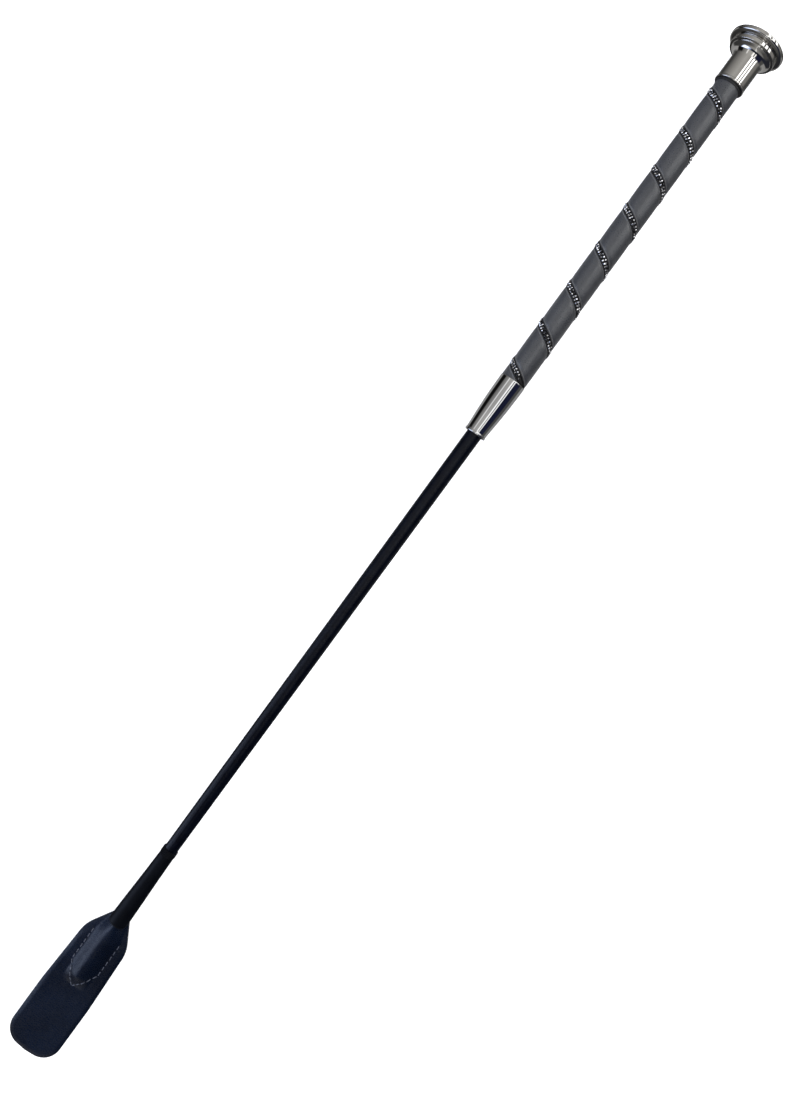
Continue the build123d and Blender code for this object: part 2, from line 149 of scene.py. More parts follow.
def distance_to(point: Vector, path: Sequence[Point]) -> float:
    """Shortest distance from a point to a path of straight legs.

    Args:
        point: the point.
        path: the path's corners.

    Returns:
        The distance.
    """
    best = math.inf
    for start, end in zip(path, path[1:]):
        foot = Vector(start)
        leg = Vector(end) - foot
        if leg.length_squared < TINY:
            continue
        share = clamp((point - foot).dot(leg) / leg.length_squared)
        best = min(best, (point - foot - leg * share).length)
    return best


def measured_from(station: float, radius: float, offsets: Sequence[Corner]) -> list[Corner]:
    """Places a table of corners that is measured from one station and radius.

    Args:
        station: station that the offsets start from, in mm.
        radius: radius that they start from.
        offsets: offset along the axis, offset outwards and rounding of each corner.

    Returns:
        Station, radius and rounding of each corner.
    """
    return [(station + along, radius + out, rounding) for along, out, rounding in offsets]


def rounded(corners: Sequence[Corner], steps: int = 5) -> list[Point]:
    """Rounds the corners of an outline with soft curves.

    Args:
        corners: station, radius and corner rounding of each corner, in mm.
        steps: number of spans in each rounded corner.

    Returns:
        Stations and radii of the rounded outline. The first and last corners stay sharp.
    """
    points: list[Point] = []
    last = len(corners) - 1
    for index, (station, radius, rounding) in enumerate(corners):
        here = Vector((station, radius))
        if index in (0, last) or rounding <= 0:
            points.append((station, radius))
            continue
        before = Vector(corners[index - 1][:2]) - here
        after = Vector(corners[index + 1][:2]) - here
        reach = min(rounding, LEG_SHARE * before.length, LEG_SHARE * after.length)
        start, end = here + before.normalized() * reach, here + after.normalized() * reach
        for step in range(steps + 1):
            t = step / steps
            point = start * (1 - t) ** 2 + here * (2 * t * (1 - t)) + end * t**2
            points.append((point.x, point.y))
    return points


def filleted(corners: Sequence[Corner], steps: int) -> list[Point]:
    """Rounds the corners of an outline with true arcs.

    Args:
        corners: two coordinates and a fillet radius for each corner, in mm.
        steps: number of spans in each arc.

    Returns:
        The points of the outline. The first and last corners stay sharp.
    """
    points: list[Point] = []
    last = len(corners) - 1
    for index, (x, y, radius) in enumerate(corners):
        here = Vector((x, y))
        if index in (0, last) or radius <= 0:
            points.append((x, y))
            continue
        before = Vector(corners[index - 1][:2]) - here
        after = Vector(corners[index + 1][:2]) - here
        half = before.angle(after) / 2.0
        room_before = (END_LEG_SHARE if index == 1 else LEG_SHARE) * before.length
        room_after = (END_LEG_SHARE if index == last - 1 else LEG_SHARE) * after.length
        reach = min(radius / math.tan(half), room_before, room_after)
        to_middle = reach * math.tan(half) / math.sin(half)
        middle = here + (before.normalized() + after.normalized()).normalized() * to_middle
        start = here + before.normalized() * reach - middle
        end = here + after.normalized() * reach - middle
        sweep = start.angle_signed(end)
        for step in range(steps + 1):
            point = middle + Matrix.Rotation(-sweep * step / steps, 2) @ start
            points.append((point.x, point.y))
    return points


# --------------------------------------------------------------------------- modelling helpers
def deselect_all() -> None:
    """Leaves no object selected."""
    bpy.ops.object.select_all(action="DESELECT")


def make_active(piece: Piece) -> None:
    """Selects one object alone and makes it active.

    Args:
        piece: the object.
    """
    deselect_all()
    piece.select_set(True)
    bpy.context.view_layer.objects.active = piece


def settle(piece: Piece) -> None:
    """Applies a piece's place, turn and scale, so that its place is in its mesh."""
    make_active(piece)
    bpy.ops.object.transform_apply(location=True, rotation=True, scale=True)


def discard(piece: Piece) -> None:
    """Deletes a blank whose copies are made."""
    make_active(piece)
    bpy.ops.object.delete()


def tidy_mesh(piece: Piece, merge: float = 1e-6) -> None:
    """Merges doubles and turns all faces outwards.

    Args:
        piece: the mesh object.
        merge: distance under which vertices are merged, in metres.
    """
    make_active(piece)
    bpy.ops.object.mode_set(mode="EDIT")
    bpy.ops.mesh.select_all(action="SELECT")
    bpy.ops.mesh.remove_doubles(threshold=merge)
    bpy.ops.mesh.normals_make_consistent(inside=False)
    bpy.ops.object.mode_set(mode="OBJECT")


def smooth(piece: Piece, angle: float = 40.0) -> None:
    """Shades a piece smooth, with hard edges above an angle in degrees."""
    make_active(piece)
    bpy.ops.object.shade_smooth_by_angle(angle=math.radians(angle))


def standing(place: Vector, *axes: Vector) -> Matrix:
    """The matrix of a place whose local X, Y and Z point along the three axes given."""
    return Matrix.Translation(place) @ Matrix(axes).transposed().to_4x4()


def copied(blank: Piece, place: Matrix) -> Piece:
    """Copies a repeated shape, with a mesh of its own.

    Args:
        blank: the shape.
        place: the copy's matrix.

    Returns:
        The copy.
    """
    piece = blank.copy()
    piece.data = blank.data.copy()
    bpy.context.collection.objects.link(piece)
    piece.matrix_world = place
    return piece


def joined(name: str, parts: Sequence[Piece]) -> Piece:
    """Joins copies into one piece with its place in its mesh.

    Args:
        name: the piece's name.
        parts: the copies.

    Returns:
        The piece.
    """
    deselect_all()
    for part in parts:
        part.select_set(True)
    bpy.context.view_layer.objects.active = parts[0]
    bpy.ops.object.join()
    piece = bpy.context.object
    piece.name = name
    settle(piece)
    return piece


def turned(name: str, profile: Sequence[Point], sides: int = 96) -> Piece:
    """Turns a closed solid about the crop's axis from the rings of its outline.

    A circle is added at the first ring, extruded from ring to ring and scaled to each radius.

    Args:
        name: the piece's name.
        profile: stations and radii in mm, in order round the outline. Where the first and the
            last ring differ, both ends are closed by a face.
        sides: number of vertices in a ring.

    Returns:
        The finished piece.
    """
    deselect_all()
    first_station, first_radius = profile[0]
    bpy.ops.mesh.primitive_circle_add(
        vertices=sides,
        radius=first_radius * MM,
        location=AXIS.at(first_station),
        rotation=AXIS.turn().to_euler(),
    )
    piece = bpy.context.object
    piece.name = name
    bpy.ops.object.mode_set(mode="EDIT")
    bpy.ops.mesh.select_all(action="SELECT")
    closed = profile[0] == profile[-1]
    if not closed:
        bpy.ops.mesh.edge_face_add()
    for (station, radius), (next_station, next_radius) in zip(profile, profile[1:]):
        step = AXIS.along * ((next_station - station) * MM)
        bpy.ops.mesh.extrude_edges_move(TRANSFORM_OT_translate={"value": step})
        scale = next_radius / radius
        bpy.ops.transform.resize(value=(scale,) * 3, center_override=AXIS.at(next_station))
    if not closed:
        bpy.ops.mesh.edge_face_add()
    bpy.ops.object.mode_set(mode="OBJECT")
    settle(piece)
    tidy_mesh(piece)
    smooth(piece)
    return piece


def shell(name: str, corners: Sequence[Corner], steps: int = 5, sides: int = 96) -> Piece:
    """Turns a hollow piece from the corners of its closed section.

    Args:
        name: the piece's name.
        corners: station, radius and rounding of each corner, in mm.
        steps: number of spans in each rounded corner.
        sides: number of vertices in a ring.

    Returns:
        The finished piece.
    """
    profile = rounded(corners, steps)
    return turned(name, profile + profile[:1], sides)


# --------------------------------------------------------------------------- shader helpers
class Slot(enum.Enum):
    """The record's material slots that new pieces stand for, written in the log as each piece is
    reported.
    """

    BRAID = "braid"
    GRIP = "grip_leather"
    TAPE = "band_tape"
    CORD = "edge_cord"
    STONES = "stones"
    METAL = "gunmetal"
    NECK = "neck_leather"
    BINDING = "neck_thread"
    RING = "ring_rubber"
    TONGUE = "tongue_leather"
    THREAD = "stitch_thread"


def new_group(name: str, inputs: dict[str, float], outputs: Sequence[str]) -> bpy.types.NodeTree:
    """Makes an empty shader node group with float inputs and outputs.

    Args:
        name: the group's name.
        inputs: input names with their default values.
        outputs: output names.

    Returns:
        The new node tree, with its input and output nodes.
    """
    tree = bpy.data.node_groups.new(name, "ShaderNodeTree")
    for socket, value in inputs.items():
        made = tree.interface.new_socket(name=socket, in_out="INPUT", socket_type="NodeSocketFloat")
        made.default_value = value
    for socket in outputs:
        tree.interface.new_socket(name=socket, in_out="OUTPUT", socket_type="NodeSocketFloat")
    tree.nodes.new("NodeGroupInput")
    tree.nodes.new("NodeGroupOutput")
    return tree


class Nodes:
    """A small hand for wiring the nodes of one tree."""

    def __init__(self, tree: bpy.types.NodeTree) -> None:
        """Keeps the tree that the nodes go in."""
        self.tree = tree

    def add(self, kind: str, **settings: object) -> bpy.types.Node:
        """Adds a node and sets its properties.

        Args:
            kind: the node's type.
            settings: properties of the node and their values.

        Returns:
            The node.
        """
        node = self.tree.nodes.new(kind)
        for key, value in settings.items():
            setattr(node, key, value)
        return node

    def join(self, source: Socket, target: Socket) -> None:
        """Links an output to an input."""
        self.tree.links.new(source, target)

    def feed(self, target: Socket, value: object) -> None:
        """Links a socket to an input, or sets a plain value on it.

        Args:
            target: the input.
            value: a socket, or the value.
        """
        if isinstance(value, Socket):
            self.join(value, target)
        else:
            target.default_value = value

    def place(self) -> Socket:
        """The place on the object, from Texture Coordinate."""
        return self.add("ShaderNodeTexCoord").outputs["Object"]

    def maths(
        self, operation: str, first: object, second: object = 0.0, clamp: bool = False
    ) -> Socket:
        """One Math node.

        Args:
            operation: the Math node's operation.
            first: a socket or a number.
            second: a socket or a number.
            clamp: whether the result is kept in 0 to 1.

        Returns:
            The result's socket.
        """
        node = self.add("ShaderNodeMath", operation=operation, use_clamp=clamp)
        self.feed(node.inputs[0], first)
        self.feed(node.inputs[1], second)
        return node.outputs[0]

    def noise(self, vector: Socket, scale: object, detail: float, rough: float = 0.5) -> Socket:
        """A noise texture's value at a scale.

        Args:
            vector: socket with the place.
            scale: noise scale, a socket or a number.
            detail: number of octaves.
            rough: roughness of the octaves.

        Returns:
            The noise value's socket.
        """
        node = self.add("ShaderNodeTexNoise")
        self.join(vector, node.inputs["Vector"])
        self.feed(node.inputs["Scale"], scale)
        node.inputs["Detail"].default_value = detail
        node.inputs["Roughness"].default_value = rough
        return node.outputs["Fac"]

    def between(
        self, value: object, low: float, high: float, to_low: float = 0.0, to_high: float = 1.0
    ) -> Socket:
        """Maps a value from one range to another, clamped.

        Args:
            value: a socket or a number.
            low: start of the range it comes from.
            high: end of that range.
            to_low: what the start becomes.
            to_high: what the end becomes.

        Returns:
            The result's socket.
        """
        node = self.add("ShaderNodeMapRange")
        self.feed(node.inputs["Value"], value)
        ranges = {"From Min": low, "From Max": high, "To Min": to_low, "To Max": to_high}
        for socket, number in ranges.items():
            node.inputs[socket].default_value = number
        return node.outputs["Result"]

    def blend_colours(self, share: object, first: object, second: object) -> Socket:
        """Mixes two colours.

        Args:
            share: how much of the second colour there is, a socket or a number.
            first: a socket or a colour.
            second: a socket or a colour.

        Returns:
            The mixed colour's socket.
        """
        node = self.add("ShaderNodeMix", data_type="RGBA")
        self.feed(node.inputs["Factor"], share)
        self.feed(node.inputs["A"], first)
        self.feed(node.inputs["B"], second)
        return node.outputs["Result"]


def rgb(red: float, green: float, blue: float) -> Colour:
    """An opaque colour."""
    return (red, green, blue, 1.0)


BLACK = rgb(0.0, 0.0, 0.0)


def grain_group() -> bpy.types.NodeTree:
    """Leather grain: small pebbled cells with fine creases, and a slow tone change.

    Returns:
        A group with the inputs Size and Crease, and the outputs Height, Mask and Tone.
    """
    creases_per_cell, tones_per_cell = 2.2, 0.06
    tree = new_group("leather_grain", {"Size": 1.0, "Crease": 0.5}, ("Height", "Mask", "Tone"))
    nodes = Nodes(tree)
    entry, out = tree.nodes[0], tree.nodes[1]
    place = nodes.place()
    density = nodes.maths("DIVIDE", 1.0 / MM, entry.outputs["Size"])
    cells = nodes.add("ShaderNodeTexVoronoi", feature="DISTANCE_TO_EDGE")
    nodes.join(place, cells.inputs["Vector"])
    nodes.join(density, cells.inputs["Scale"])
    pebble = nodes.between(cells.outputs["Distance"], 0.0, 0.35)
    fine = nodes.noise(place, nodes.maths("MULTIPLY", density, creases_per_cell), 4.0, 0.6)
    wrinkle = nodes.maths("MULTIPLY", fine, entry.outputs["Crease"])
    slow = nodes.noise(place, nodes.maths("MULTIPLY", density, tones_per_cell), 3.0)
    nodes.join(nodes.maths("ADD", pebble, wrinkle), out.inputs["Height"])
    nodes.join(pebble, out.inputs["Mask"])
    nodes.join(slow, out.inputs["Tone"])
    return tree


def rub_group() -> bpy.types.NodeTree:
    """Handling wear: soft smudges and finger marks that change the gloss.

    Returns:
        A group with the inputs Scale and Strength, and the output Wear.
    """
    fine_per_broad = 7.0
    tree = new_group("handling_wear", {"Scale": 60.0, "Strength": 0.5}, ("Wear",))
    nodes = Nodes(tree)
    entry, out = tree.nodes[0], tree.nodes[1]
    place = nodes.place()
    broad = nodes.noise(place, entry.outputs["Scale"], 5.0, 0.6)
    fine_scale = nodes.maths("MULTIPLY", entry.outputs["Scale"], fine_per_broad)
    fine = nodes.noise(place, fine_scale, 3.0)
    mixed = nodes.maths("MULTIPLY", broad, nodes.maths("ADD", 0.6, fine))
    marks = nodes.between(mixed, 0.35, 0.75)
    nodes.join(nodes.maths("MULTIPLY", marks, entry.outputs["Strength"]), out.inputs["Wear"])
    return tree


def edge_group() -> bpy.types.NodeTree:
    """Edge wear from the surface's own curvature.

    Returns:
        A group with the inputs Sharpness and Strength, and the output Edge.
    """
    gain, patch_scale = 14.0, 900.0
    tree = new_group("edge_wear", {"Sharpness": 0.56, "Strength": 1.0}, ("Edge",))
    nodes = Nodes(tree)
    entry, out = tree.nodes[0], tree.nodes[1]
    curve = nodes.add("ShaderNodeNewGeometry").outputs["Pointiness"]
    patches = nodes.noise(nodes.place(), patch_scale, 3.0)
    lifted = nodes.maths("SUBTRACT", curve, entry.outputs["Sharpness"])
    sharp = nodes.maths("MULTIPLY", lifted, gain, clamp=True)
    patchy = nodes.maths("MULTIPLY", sharp, nodes.between(patches, 0.3, 0.6, 0.3, 1.0))
    nodes.join(nodes.maths("MULTIPLY", patchy, entry.outputs["Strength"]), out.inputs["Edge"])
    return tree


class Groups:
    """The shared node groups, each built once."""

    def __init__(self) -> None:
        """Builds the groups."""
        self.grain = grain_group()
        self.rub = rub_group()
        self.edge = edge_group()


GROUPS = Groups()


@dataclass(frozen=True)
class Finish:
    """A finish on the Principled shader: its name, colours and plain shader values."""

    name: str
    colour: Colour
    second: Colour
    roughness: float
    metallic: float = 0.0
    specular: float = 0.5

    def start(self) -> tuple[bpy.types.Material, Nodes, bpy.types.Node]:
        """Makes the material and its shader, with the plain values set.

        Returns:
            The material, the node hand and the Principled node.
        """
        material = bpy.data.materials.new(self.name)
        material.use_nodes = True
        shader = material.node_tree.nodes["Principled BSDF"]
        shader.inputs["Base Color"].default_value = self.colour
        shader.inputs["Metallic"].default_value = self.metallic
        shader.inputs["Roughness"].default_value = self.roughness
        shader.inputs["Specular IOR Level"].default_value = self.specular
        return material, Nodes(material.node_tree), shader

    def mottled(self, nodes: Nodes, tone: Socket, spread: float) -> Socket:
        """Mixes the finish's two colours by a tone.

        Args:
            nodes: the node hand.
            tone: socket with the tone, around 0.5.
            spread: how far from 0.5 the tone gives one colour alone.

        Returns:
            The mixed colour's socket.
        """
        share = nodes.between(tone, 0.5 - spread, 0.5 + spread)
        return nodes.blend_colours(share, self.colour, self.second)

    def bump(self, nodes: Nodes, shader: bpy.types.Node, height: Socket, depth: float) -> None:
        """Feeds a height to the shader's normal.

        Args:
            nodes: the node hand.
            shader: the Principled node.
            height: socket with the height, 0 to 1.
            depth: the bump's depth in metres.
        """
        bump = nodes.add("ShaderNodeBump")
        bump.inputs["Strength"].default_value = 1.0
        bump.inputs["Distance"].default_value = depth
        nodes.join(height, bump.inputs["Height"])
        nodes.join(bump.outputs["Normal"], shader.inputs["Normal"])

    def group(self, nodes: Nodes, tree: bpy.types.NodeTree, **values: float) -> bpy.types.Node:
        """Places a shared group with its own values.

        Args:
            nodes: the node hand.
            tree: the group.
            values: the group's inputs and their values.

        Returns:
            The group's node.
        """
        node = nodes.add("ShaderNodeGroup", node_tree=tree)
        for socket, value in values.items():
            node.inputs[socket].default_value = value
        return node


@dataclass(frozen=True)
class LeatherFinish(Finish):
    """Grained leather with handling wear."""

    grain_size: float = 0.9
    grain_depth: float = 0.00006
    crease: float = 0.5
    wear: float = 0.4
    rub_scale: float = 55.0
    rub_gloss: float = 0.18
    hollow_shade: float = 0.35
    hollow_rough: float = 0.4
    edge_wear: float = 0.6

    def build(self) -> bpy.types.Material:
        """Builds the leather.

        Returns:
            The material.
        """
        material, nodes, shader = self.start()
        grain = self.group(nodes, GROUPS.grain, Size=self.grain_size, Crease=self.crease)
        rub = self.group(nodes, GROUPS.rub, Scale=self.rub_scale, Strength=self.wear)
        edge = self.group(nodes, GROUPS.edge, Sharpness=0.56, Strength=self.edge_wear)
        body = self.mottled(nodes, grain.outputs["Tone"], 0.2)
        # Painted shade: hollow_shade darkens the creases between the grain's pebbles towards black.
        hollow = nodes.between(grain.outputs["Mask"], 0.0, 1.0, self.hollow_shade, 0.0)
        dark = nodes.blend_colours(hollow, body, BLACK)
        worn = nodes.blend_colours(edge.outputs["Edge"], dark, self.second)
        nodes.join(worn, shader.inputs["Base Color"])
        polish = nodes.maths("MULTIPLY", rub.outputs["Wear"], self.rub_gloss)
        gloss = nodes.maths("SUBTRACT", self.roughness, polish)
        tooth = nodes.maths("MULTIPLY", hollow, self.hollow_rough)
        nodes.join(nodes.maths("ADD", gloss, tooth, clamp=True), shader.inputs["Roughness"])
        self.bump(nodes, shader, grain.outputs["Height"], self.grain_depth)
        return material


@dataclass(frozen=True)
class MetalFinish(Finish):
    """Polished plated metal with faint handling marks."""

    metallic: float = 1.0
    marks: float = 0.25
    mark_scale: float = 90.0
    mark_haze: float = 0.22
    edge_wear: float = 0.5
    bare: Colour = rgb(0.62, 0.61, 0.60)
    tone_scale: float = 70.0
    polish_scale: float = 2600.0
    polish_depth: float = 0.0000015

    def build(self) -> bpy.types.Material:
        """Builds the metal.

        Returns:
            The material.
        """
        material, nodes, shader = self.start()
        rub = self.group(nodes, GROUPS.rub, Scale=self.mark_scale, Strength=self.marks)
        edge = self.group(nodes, GROUPS.edge, Sharpness=0.55, Strength=self.edge_wear)
        place = nodes.place()
        body = self.mottled(nodes, nodes.noise(place, self.tone_scale, 3.0), 0.15)
        bright = nodes.blend_colours(edge.outputs["Edge"], body, self.bare)
        nodes.join(bright, shader.inputs["Base Color"])
        haze = nodes.maths("MULTIPLY", rub.outputs["Wear"], self.mark_haze)
        nodes.join(nodes.maths("ADD", self.roughness, haze), shader.inputs["Roughness"])
        fine = nodes.noise(place, self.polish_scale, 2.0)
        self.bump(nodes, shader, fine, self.polish_depth)
        return material


@dataclass(frozen=True)
class ThreadFinish(Finish):
    """Woven or twisted thread: fine ridges that catch the light."""

    ridge: float = 0.35
    depth: float = 0.00005
    bands_per_scale: float = 6.0
    tone_scale: float = 240.0
    groove_shade: float = 0.5
    groove_rough: float = 0.2

    def build(self) -> bpy.types.Material:
        """Builds the thread.

        Returns:
            The material.
        """
        material, nodes, shader = self.start()
        place = nodes.place()
        wave = nodes.add("ShaderNodeTexWave", wave_type="BANDS", bands_direction="DIAGONAL")
        nodes.join(place, wave.inputs["Vector"])
        wave.inputs["Scale"].default_value = 1.0 / (self.ridge * MM) / self.bands_per_scale
        wave.inputs["Distortion"].default_value = 1.5
        wave.inputs["Detail"].default_value = 1.0
        ridge = wave.outputs["Fac"]
        body = self.mottled(nodes, nodes.noise(place, self.tone_scale, 4.0), 0.2)
        # Painted shade: groove_shade darkens the grooves between the ridges towards black.
        groove = nodes.between(ridge, 0.0, 1.0, self.groove_shade, 0.0)
        nodes.join(nodes.blend_colours(groove, body, BLACK), shader.inputs["Base Color"])
        dull = min(1.0, self.roughness + self.groove_rough)
        nodes.join(nodes.between(ridge, 0.0, 1.0, dull, self.roughness), shader.inputs["Roughness"])
        self.bump(nodes, shader, ridge, self.depth)
        return material


@dataclass(frozen=True)
class StoneFinish(Finish):
    """Dark polished stone, a little different from stone to stone."""

    metallic: float = 1.0
    tone_scale: float = 700.0
    haze: float = 0.12

    def build(self) -> bpy.types.Material:
        """Builds the stone.

        Returns:
            The material.
        """
        material, nodes, shader = self.start()
        tone = nodes.noise(nodes.place(), self.tone_scale, 0.0)
        nodes.join(self.mottled(nodes, tone, 0.15), shader.inputs["Base Color"])
        rough = nodes.between(tone, 0.3, 0.7, self.roughness, self.roughness + self.haze)
        nodes.join(rough, shader.inputs["Roughness"])
        return material


@dataclass(frozen=True)
class PlainFinish(Finish):
    """Rubber, moulded plastic or bare glass fibre: a mottled tone and a fine tooth."""

    tooth: float = 0.00001
    tooth_scale: float = 4000.0
    tone_scale: float = 300.0
    spread: float = 0.08

    def build(self) -> bpy.types.Material:
        """Builds the plain finish.

        Returns:
            The material.
        """
        material, nodes, shader = self.start()
        place = nodes.place()
        body = self.mottled(nodes, nodes.noise(place, self.tone_scale, 4.0), 0.2)
        nodes.join(body, shader.inputs["Base Color"])
        fine = nodes.noise(place, self.tooth_scale, 3.0)
        smoothest, roughest = self.roughness - self.spread, self.roughness + self.spread
        rough = nodes.between(fine, 0.3, 0.7, smoothest, roughest)
        nodes.join(rough, shader.inputs["Roughness"])
        self.bump(nodes, shader, fine, self.tooth)
        return material


class Palette:
    """Every finish of the crop, each built once."""

    def __init__(self) -> None:
        """Builds the finishes."""
        self.cap_metal = MetalFinish(
            "cap_gunmetal", rgb(0.47, 0.46, 0.44), rgb(0.43, 0.42, 0.405), 0.035, marks=0.12
        ).build()
        self.ferrule_metal = MetalFinish(
            "ferrule_gunmetal", rgb(0.45, 0.45, 0.45), rgb(0.41, 0.41, 0.415), 0.03, marks=0.10
        ).build()
        self.grip = LeatherFinish(
            "grip_leather", rgb(0.042, 0.045, 0.052), rgb(0.056, 0.059, 0.067), 0.30,
            grain_size=0.8, grain_depth=0.00003, crease=0.3, wear=0.5, specular=0.7,
        ).build()
        self.hem = LeatherFinish(
            "grip_hem", rgb(0.095, 0.097, 0.102), rgb(0.125, 0.127, 0.132), 0.45,
            grain_size=0.7, grain_depth=0.00002, crease=0.3, wear=0.3,
        ).build()
        self.tape = ThreadFinish(
            "band_tape", rgb(0.010, 0.010, 0.012), rgb(0.018, 0.018, 0.02), 0.7
        ).build()
        self.cord = ThreadFinish(
            "edge_cord", rgb(0.006, 0.006, 0.008), rgb(0.012, 0.012, 0.014), 0.55, ridge=0.25
        ).build()
        self.stones = StoneFinish(
            "dark_stones", rgb(0.03, 0.031, 0.035), rgb(0.92, 0.92, 0.94), 0.03, specular=0.8
        ).build()
        self.braid = ThreadFinish(
            "braid", rgb(0.0012, 0.0018, 0.005), rgb(0.003, 0.0045, 0.010), 0.12,
            specular=0.13, ridge=0.22, depth=0.00001,
        ).build()
        self.neck = LeatherFinish(
            "neck_leather", rgb(0.0015, 0.002, 0.004), rgb(0.003, 0.004, 0.007), 0.40,
            grain_size=0.6, grain_depth=0.00001, crease=0.3, wear=0.5, specular=0.07,
        ).build()
        self.binding = ThreadFinish(
            "neck_thread", rgb(0.0015, 0.002, 0.004), rgb(0.003, 0.004, 0.007), 0.45, specular=0.08
        ).build()
        # Black rubber of the cap's mouth ring, which is dark partly as painted shade for the gap
        # round the leather.
        self.ring = PlainFinish(
            "ring_rubber", rgb(0.004, 0.004, 0.005), rgb(0.008, 0.008, 0.009), 0.6
        ).build()
        self.tongue = LeatherFinish(
            "tongue_leather", rgb(0.0015, 0.004, 0.012), rgb(0.004, 0.009, 0.024), 0.22,
            grain_size=1.0, crease=0.6, wear=0.35, specular=0.18,
        ).build()
        self.thread = ThreadFinish(
            "stitch_thread", rgb(0.075, 0.085, 0.125), rgb(0.13, 0.145, 0.19), 0.5
        ).build()
        self.nylon = PlainFinish(
            "moulded_nylon", rgb(0.012, 0.012, 0.013), rgb(0.02, 0.02, 0.021), 0.45
        ).build()
        self.fibre = PlainFinish(
            "glass_fibre", rgb(0.52, 0.50, 0.42), rgb(0.60, 0.58, 0.50), 0.4
        ).build()
        self.foam = PlainFinish(
            "foam_tape", rgb(0.02, 0.02, 0.022), rgb(0.035, 0.035, 0.038), 0.8
        ).build()


def dress(piece: Piece, material: bpy.types.Material) -> None:
    """Gives a piece one material all over."""
    piece.data.materials.clear()
    piece.data.materials.append(material)


def dress_node(node: str, material: bpy.types.Material) -> None:
    """Gives a CAD node's own slots a material."""
    for slot in frame["nodes"][node].material_slots:
        slot.material = material


def label(piece: Piece, slot: Slot, *nodes: str) -> None:
    """Hides the CAD nodes that a piece stands for and reports the piece with its slot's name.

    Args:
        piece: the finished piece.
        slot: the record's slot.
        nodes: CAD nodes that the piece replaces.
    """
    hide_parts(*nodes)
    log.info("%s: %d faces in %s", piece.name, len(piece.data.polygons), slot.value)


def hand_over(piece: Piece, material: bpy.types.Material, slot: Slot, *nodes: str) -> None:
    """Dresses a piece, rides it on the crop and labels it.

    Args:
        piece: the finished piece.
        material: its finish.
        slot: the record's slot.
        nodes: CAD nodes that the piece replaces.
    """
    dress(piece, material)
    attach(piece, CROP_BODY)
    label(piece, slot, *nodes)


# --------------------------------------------------------------------------- shaft and neck
@dataclass
class Shaft:
    """The woven cover of the rod, with its crossing strands in the mesh."""

    strands: int = 16
    lozenge: float = 1.3
    relief: float = 0.24
    steepness: float = 4.0  # of the step from one strand down to the one that it crosses
    around: int = 96
    ring_step: float = 0.285
    neck_radius: float = 3.65
    under_ring: float = 2.0
    under_ferrule: float = 1.0

    @staticmethod
    def crown(place: float) -> float:
        """Height of a strand's round back at a place counted in strands, 0 to 1."""
        return math.sqrt(max(0.0, 1.0 - (2.0 * (place % 1.0) - 1.0) ** 2))

    def weave(self, turn: float, station: float) -> float:
        """Height of the weave, 0 to 1.

        Args:
            turn: share of a turn round the shaft.
            station: place along the axis, in mm.

        Returns:
            The height of the upper strand there.
        """
        first = self.strands * turn + station / self.lozenge
        second = self.strands * turn - station / self.lozenge
        over = math.sin(math.pi * first) * math.sin(math.pi * second)
        share = clamp(0.5 + self.steepness * over)
        return self.crown(first) * share + self.crown(second) * (1.0 - share)

    def radius_at(self, station: float) -> float:
        """The braid's outer radius: even up to the neck's ring, then growing to the ferrule.

        Args:
            station: place along the axis, in mm.

        Returns:
            The radius, in mm.
        """
        ring_at = AXIS.stretch("neck_binding")[1]
        butt_at, butt = AXIS.stretch("braid_cover")[1], half_width("braid_cover")
        if station < ring_at:
            return self.neck_radius
        growth = butt - self.neck_radius
        return self.neck_radius + growth * (station - ring_at) / (butt_at - ring_at)

    def build(self, palette: Palette) -> None:
        """Wraps a fine grid round the axis, raises its strands and closes its ends.

        Args:
            palette: the crop's finishes.
        """
        first = AXIS.stretch("neck_binding")[0] - self.under_ring
        last = AXIS.stretch("ferrule_bush")[0] + self.under_ferrule
        low_radius, high_radius = self.radius_at(first), self.radius_at(last)
        rings = int((last - first) / self.ring_step)
        deselect_all()
        bpy.ops.mesh.primitive_grid_add(x_subdivisions=self.around, y_subdivisions=rings, size=1.0)
        piece = bpy.context.object
        piece.name = "shaft_braid"
        for vertex in piece.data.vertices:
            turn, share = vertex.co.x + 0.5, vertex.co.y + 0.5
            station = first + share * (last - first)
            radius = low_radius + share * (high_radius - low_radius)
            radius += self.relief * (self.weave(turn, station) - 1.0)
            angle = FULL_TURN * turn
            vertex.co = AXIS.at(station, radius * math.cos(angle), radius * math.sin(angle))
        tidy_mesh(piece)
        bpy.ops.object.mode_set(mode="EDIT")
        bpy.ops.mesh.select_all(action="DESELECT")
        bpy.ops.mesh.select_mode(type="EDGE")
        bpy.ops.mesh.select_non_manifold()
        bpy.ops.mesh.fill()
        bpy.ops.mesh.select_mode(type="VERT")
        bpy.ops.object.mode_set(mode="OBJECT")
        tidy_mesh(piece)
        smooth(piece, 80.0)
        hand_over(piece, palette.braid, Slot.BRAID, "braid_cover")


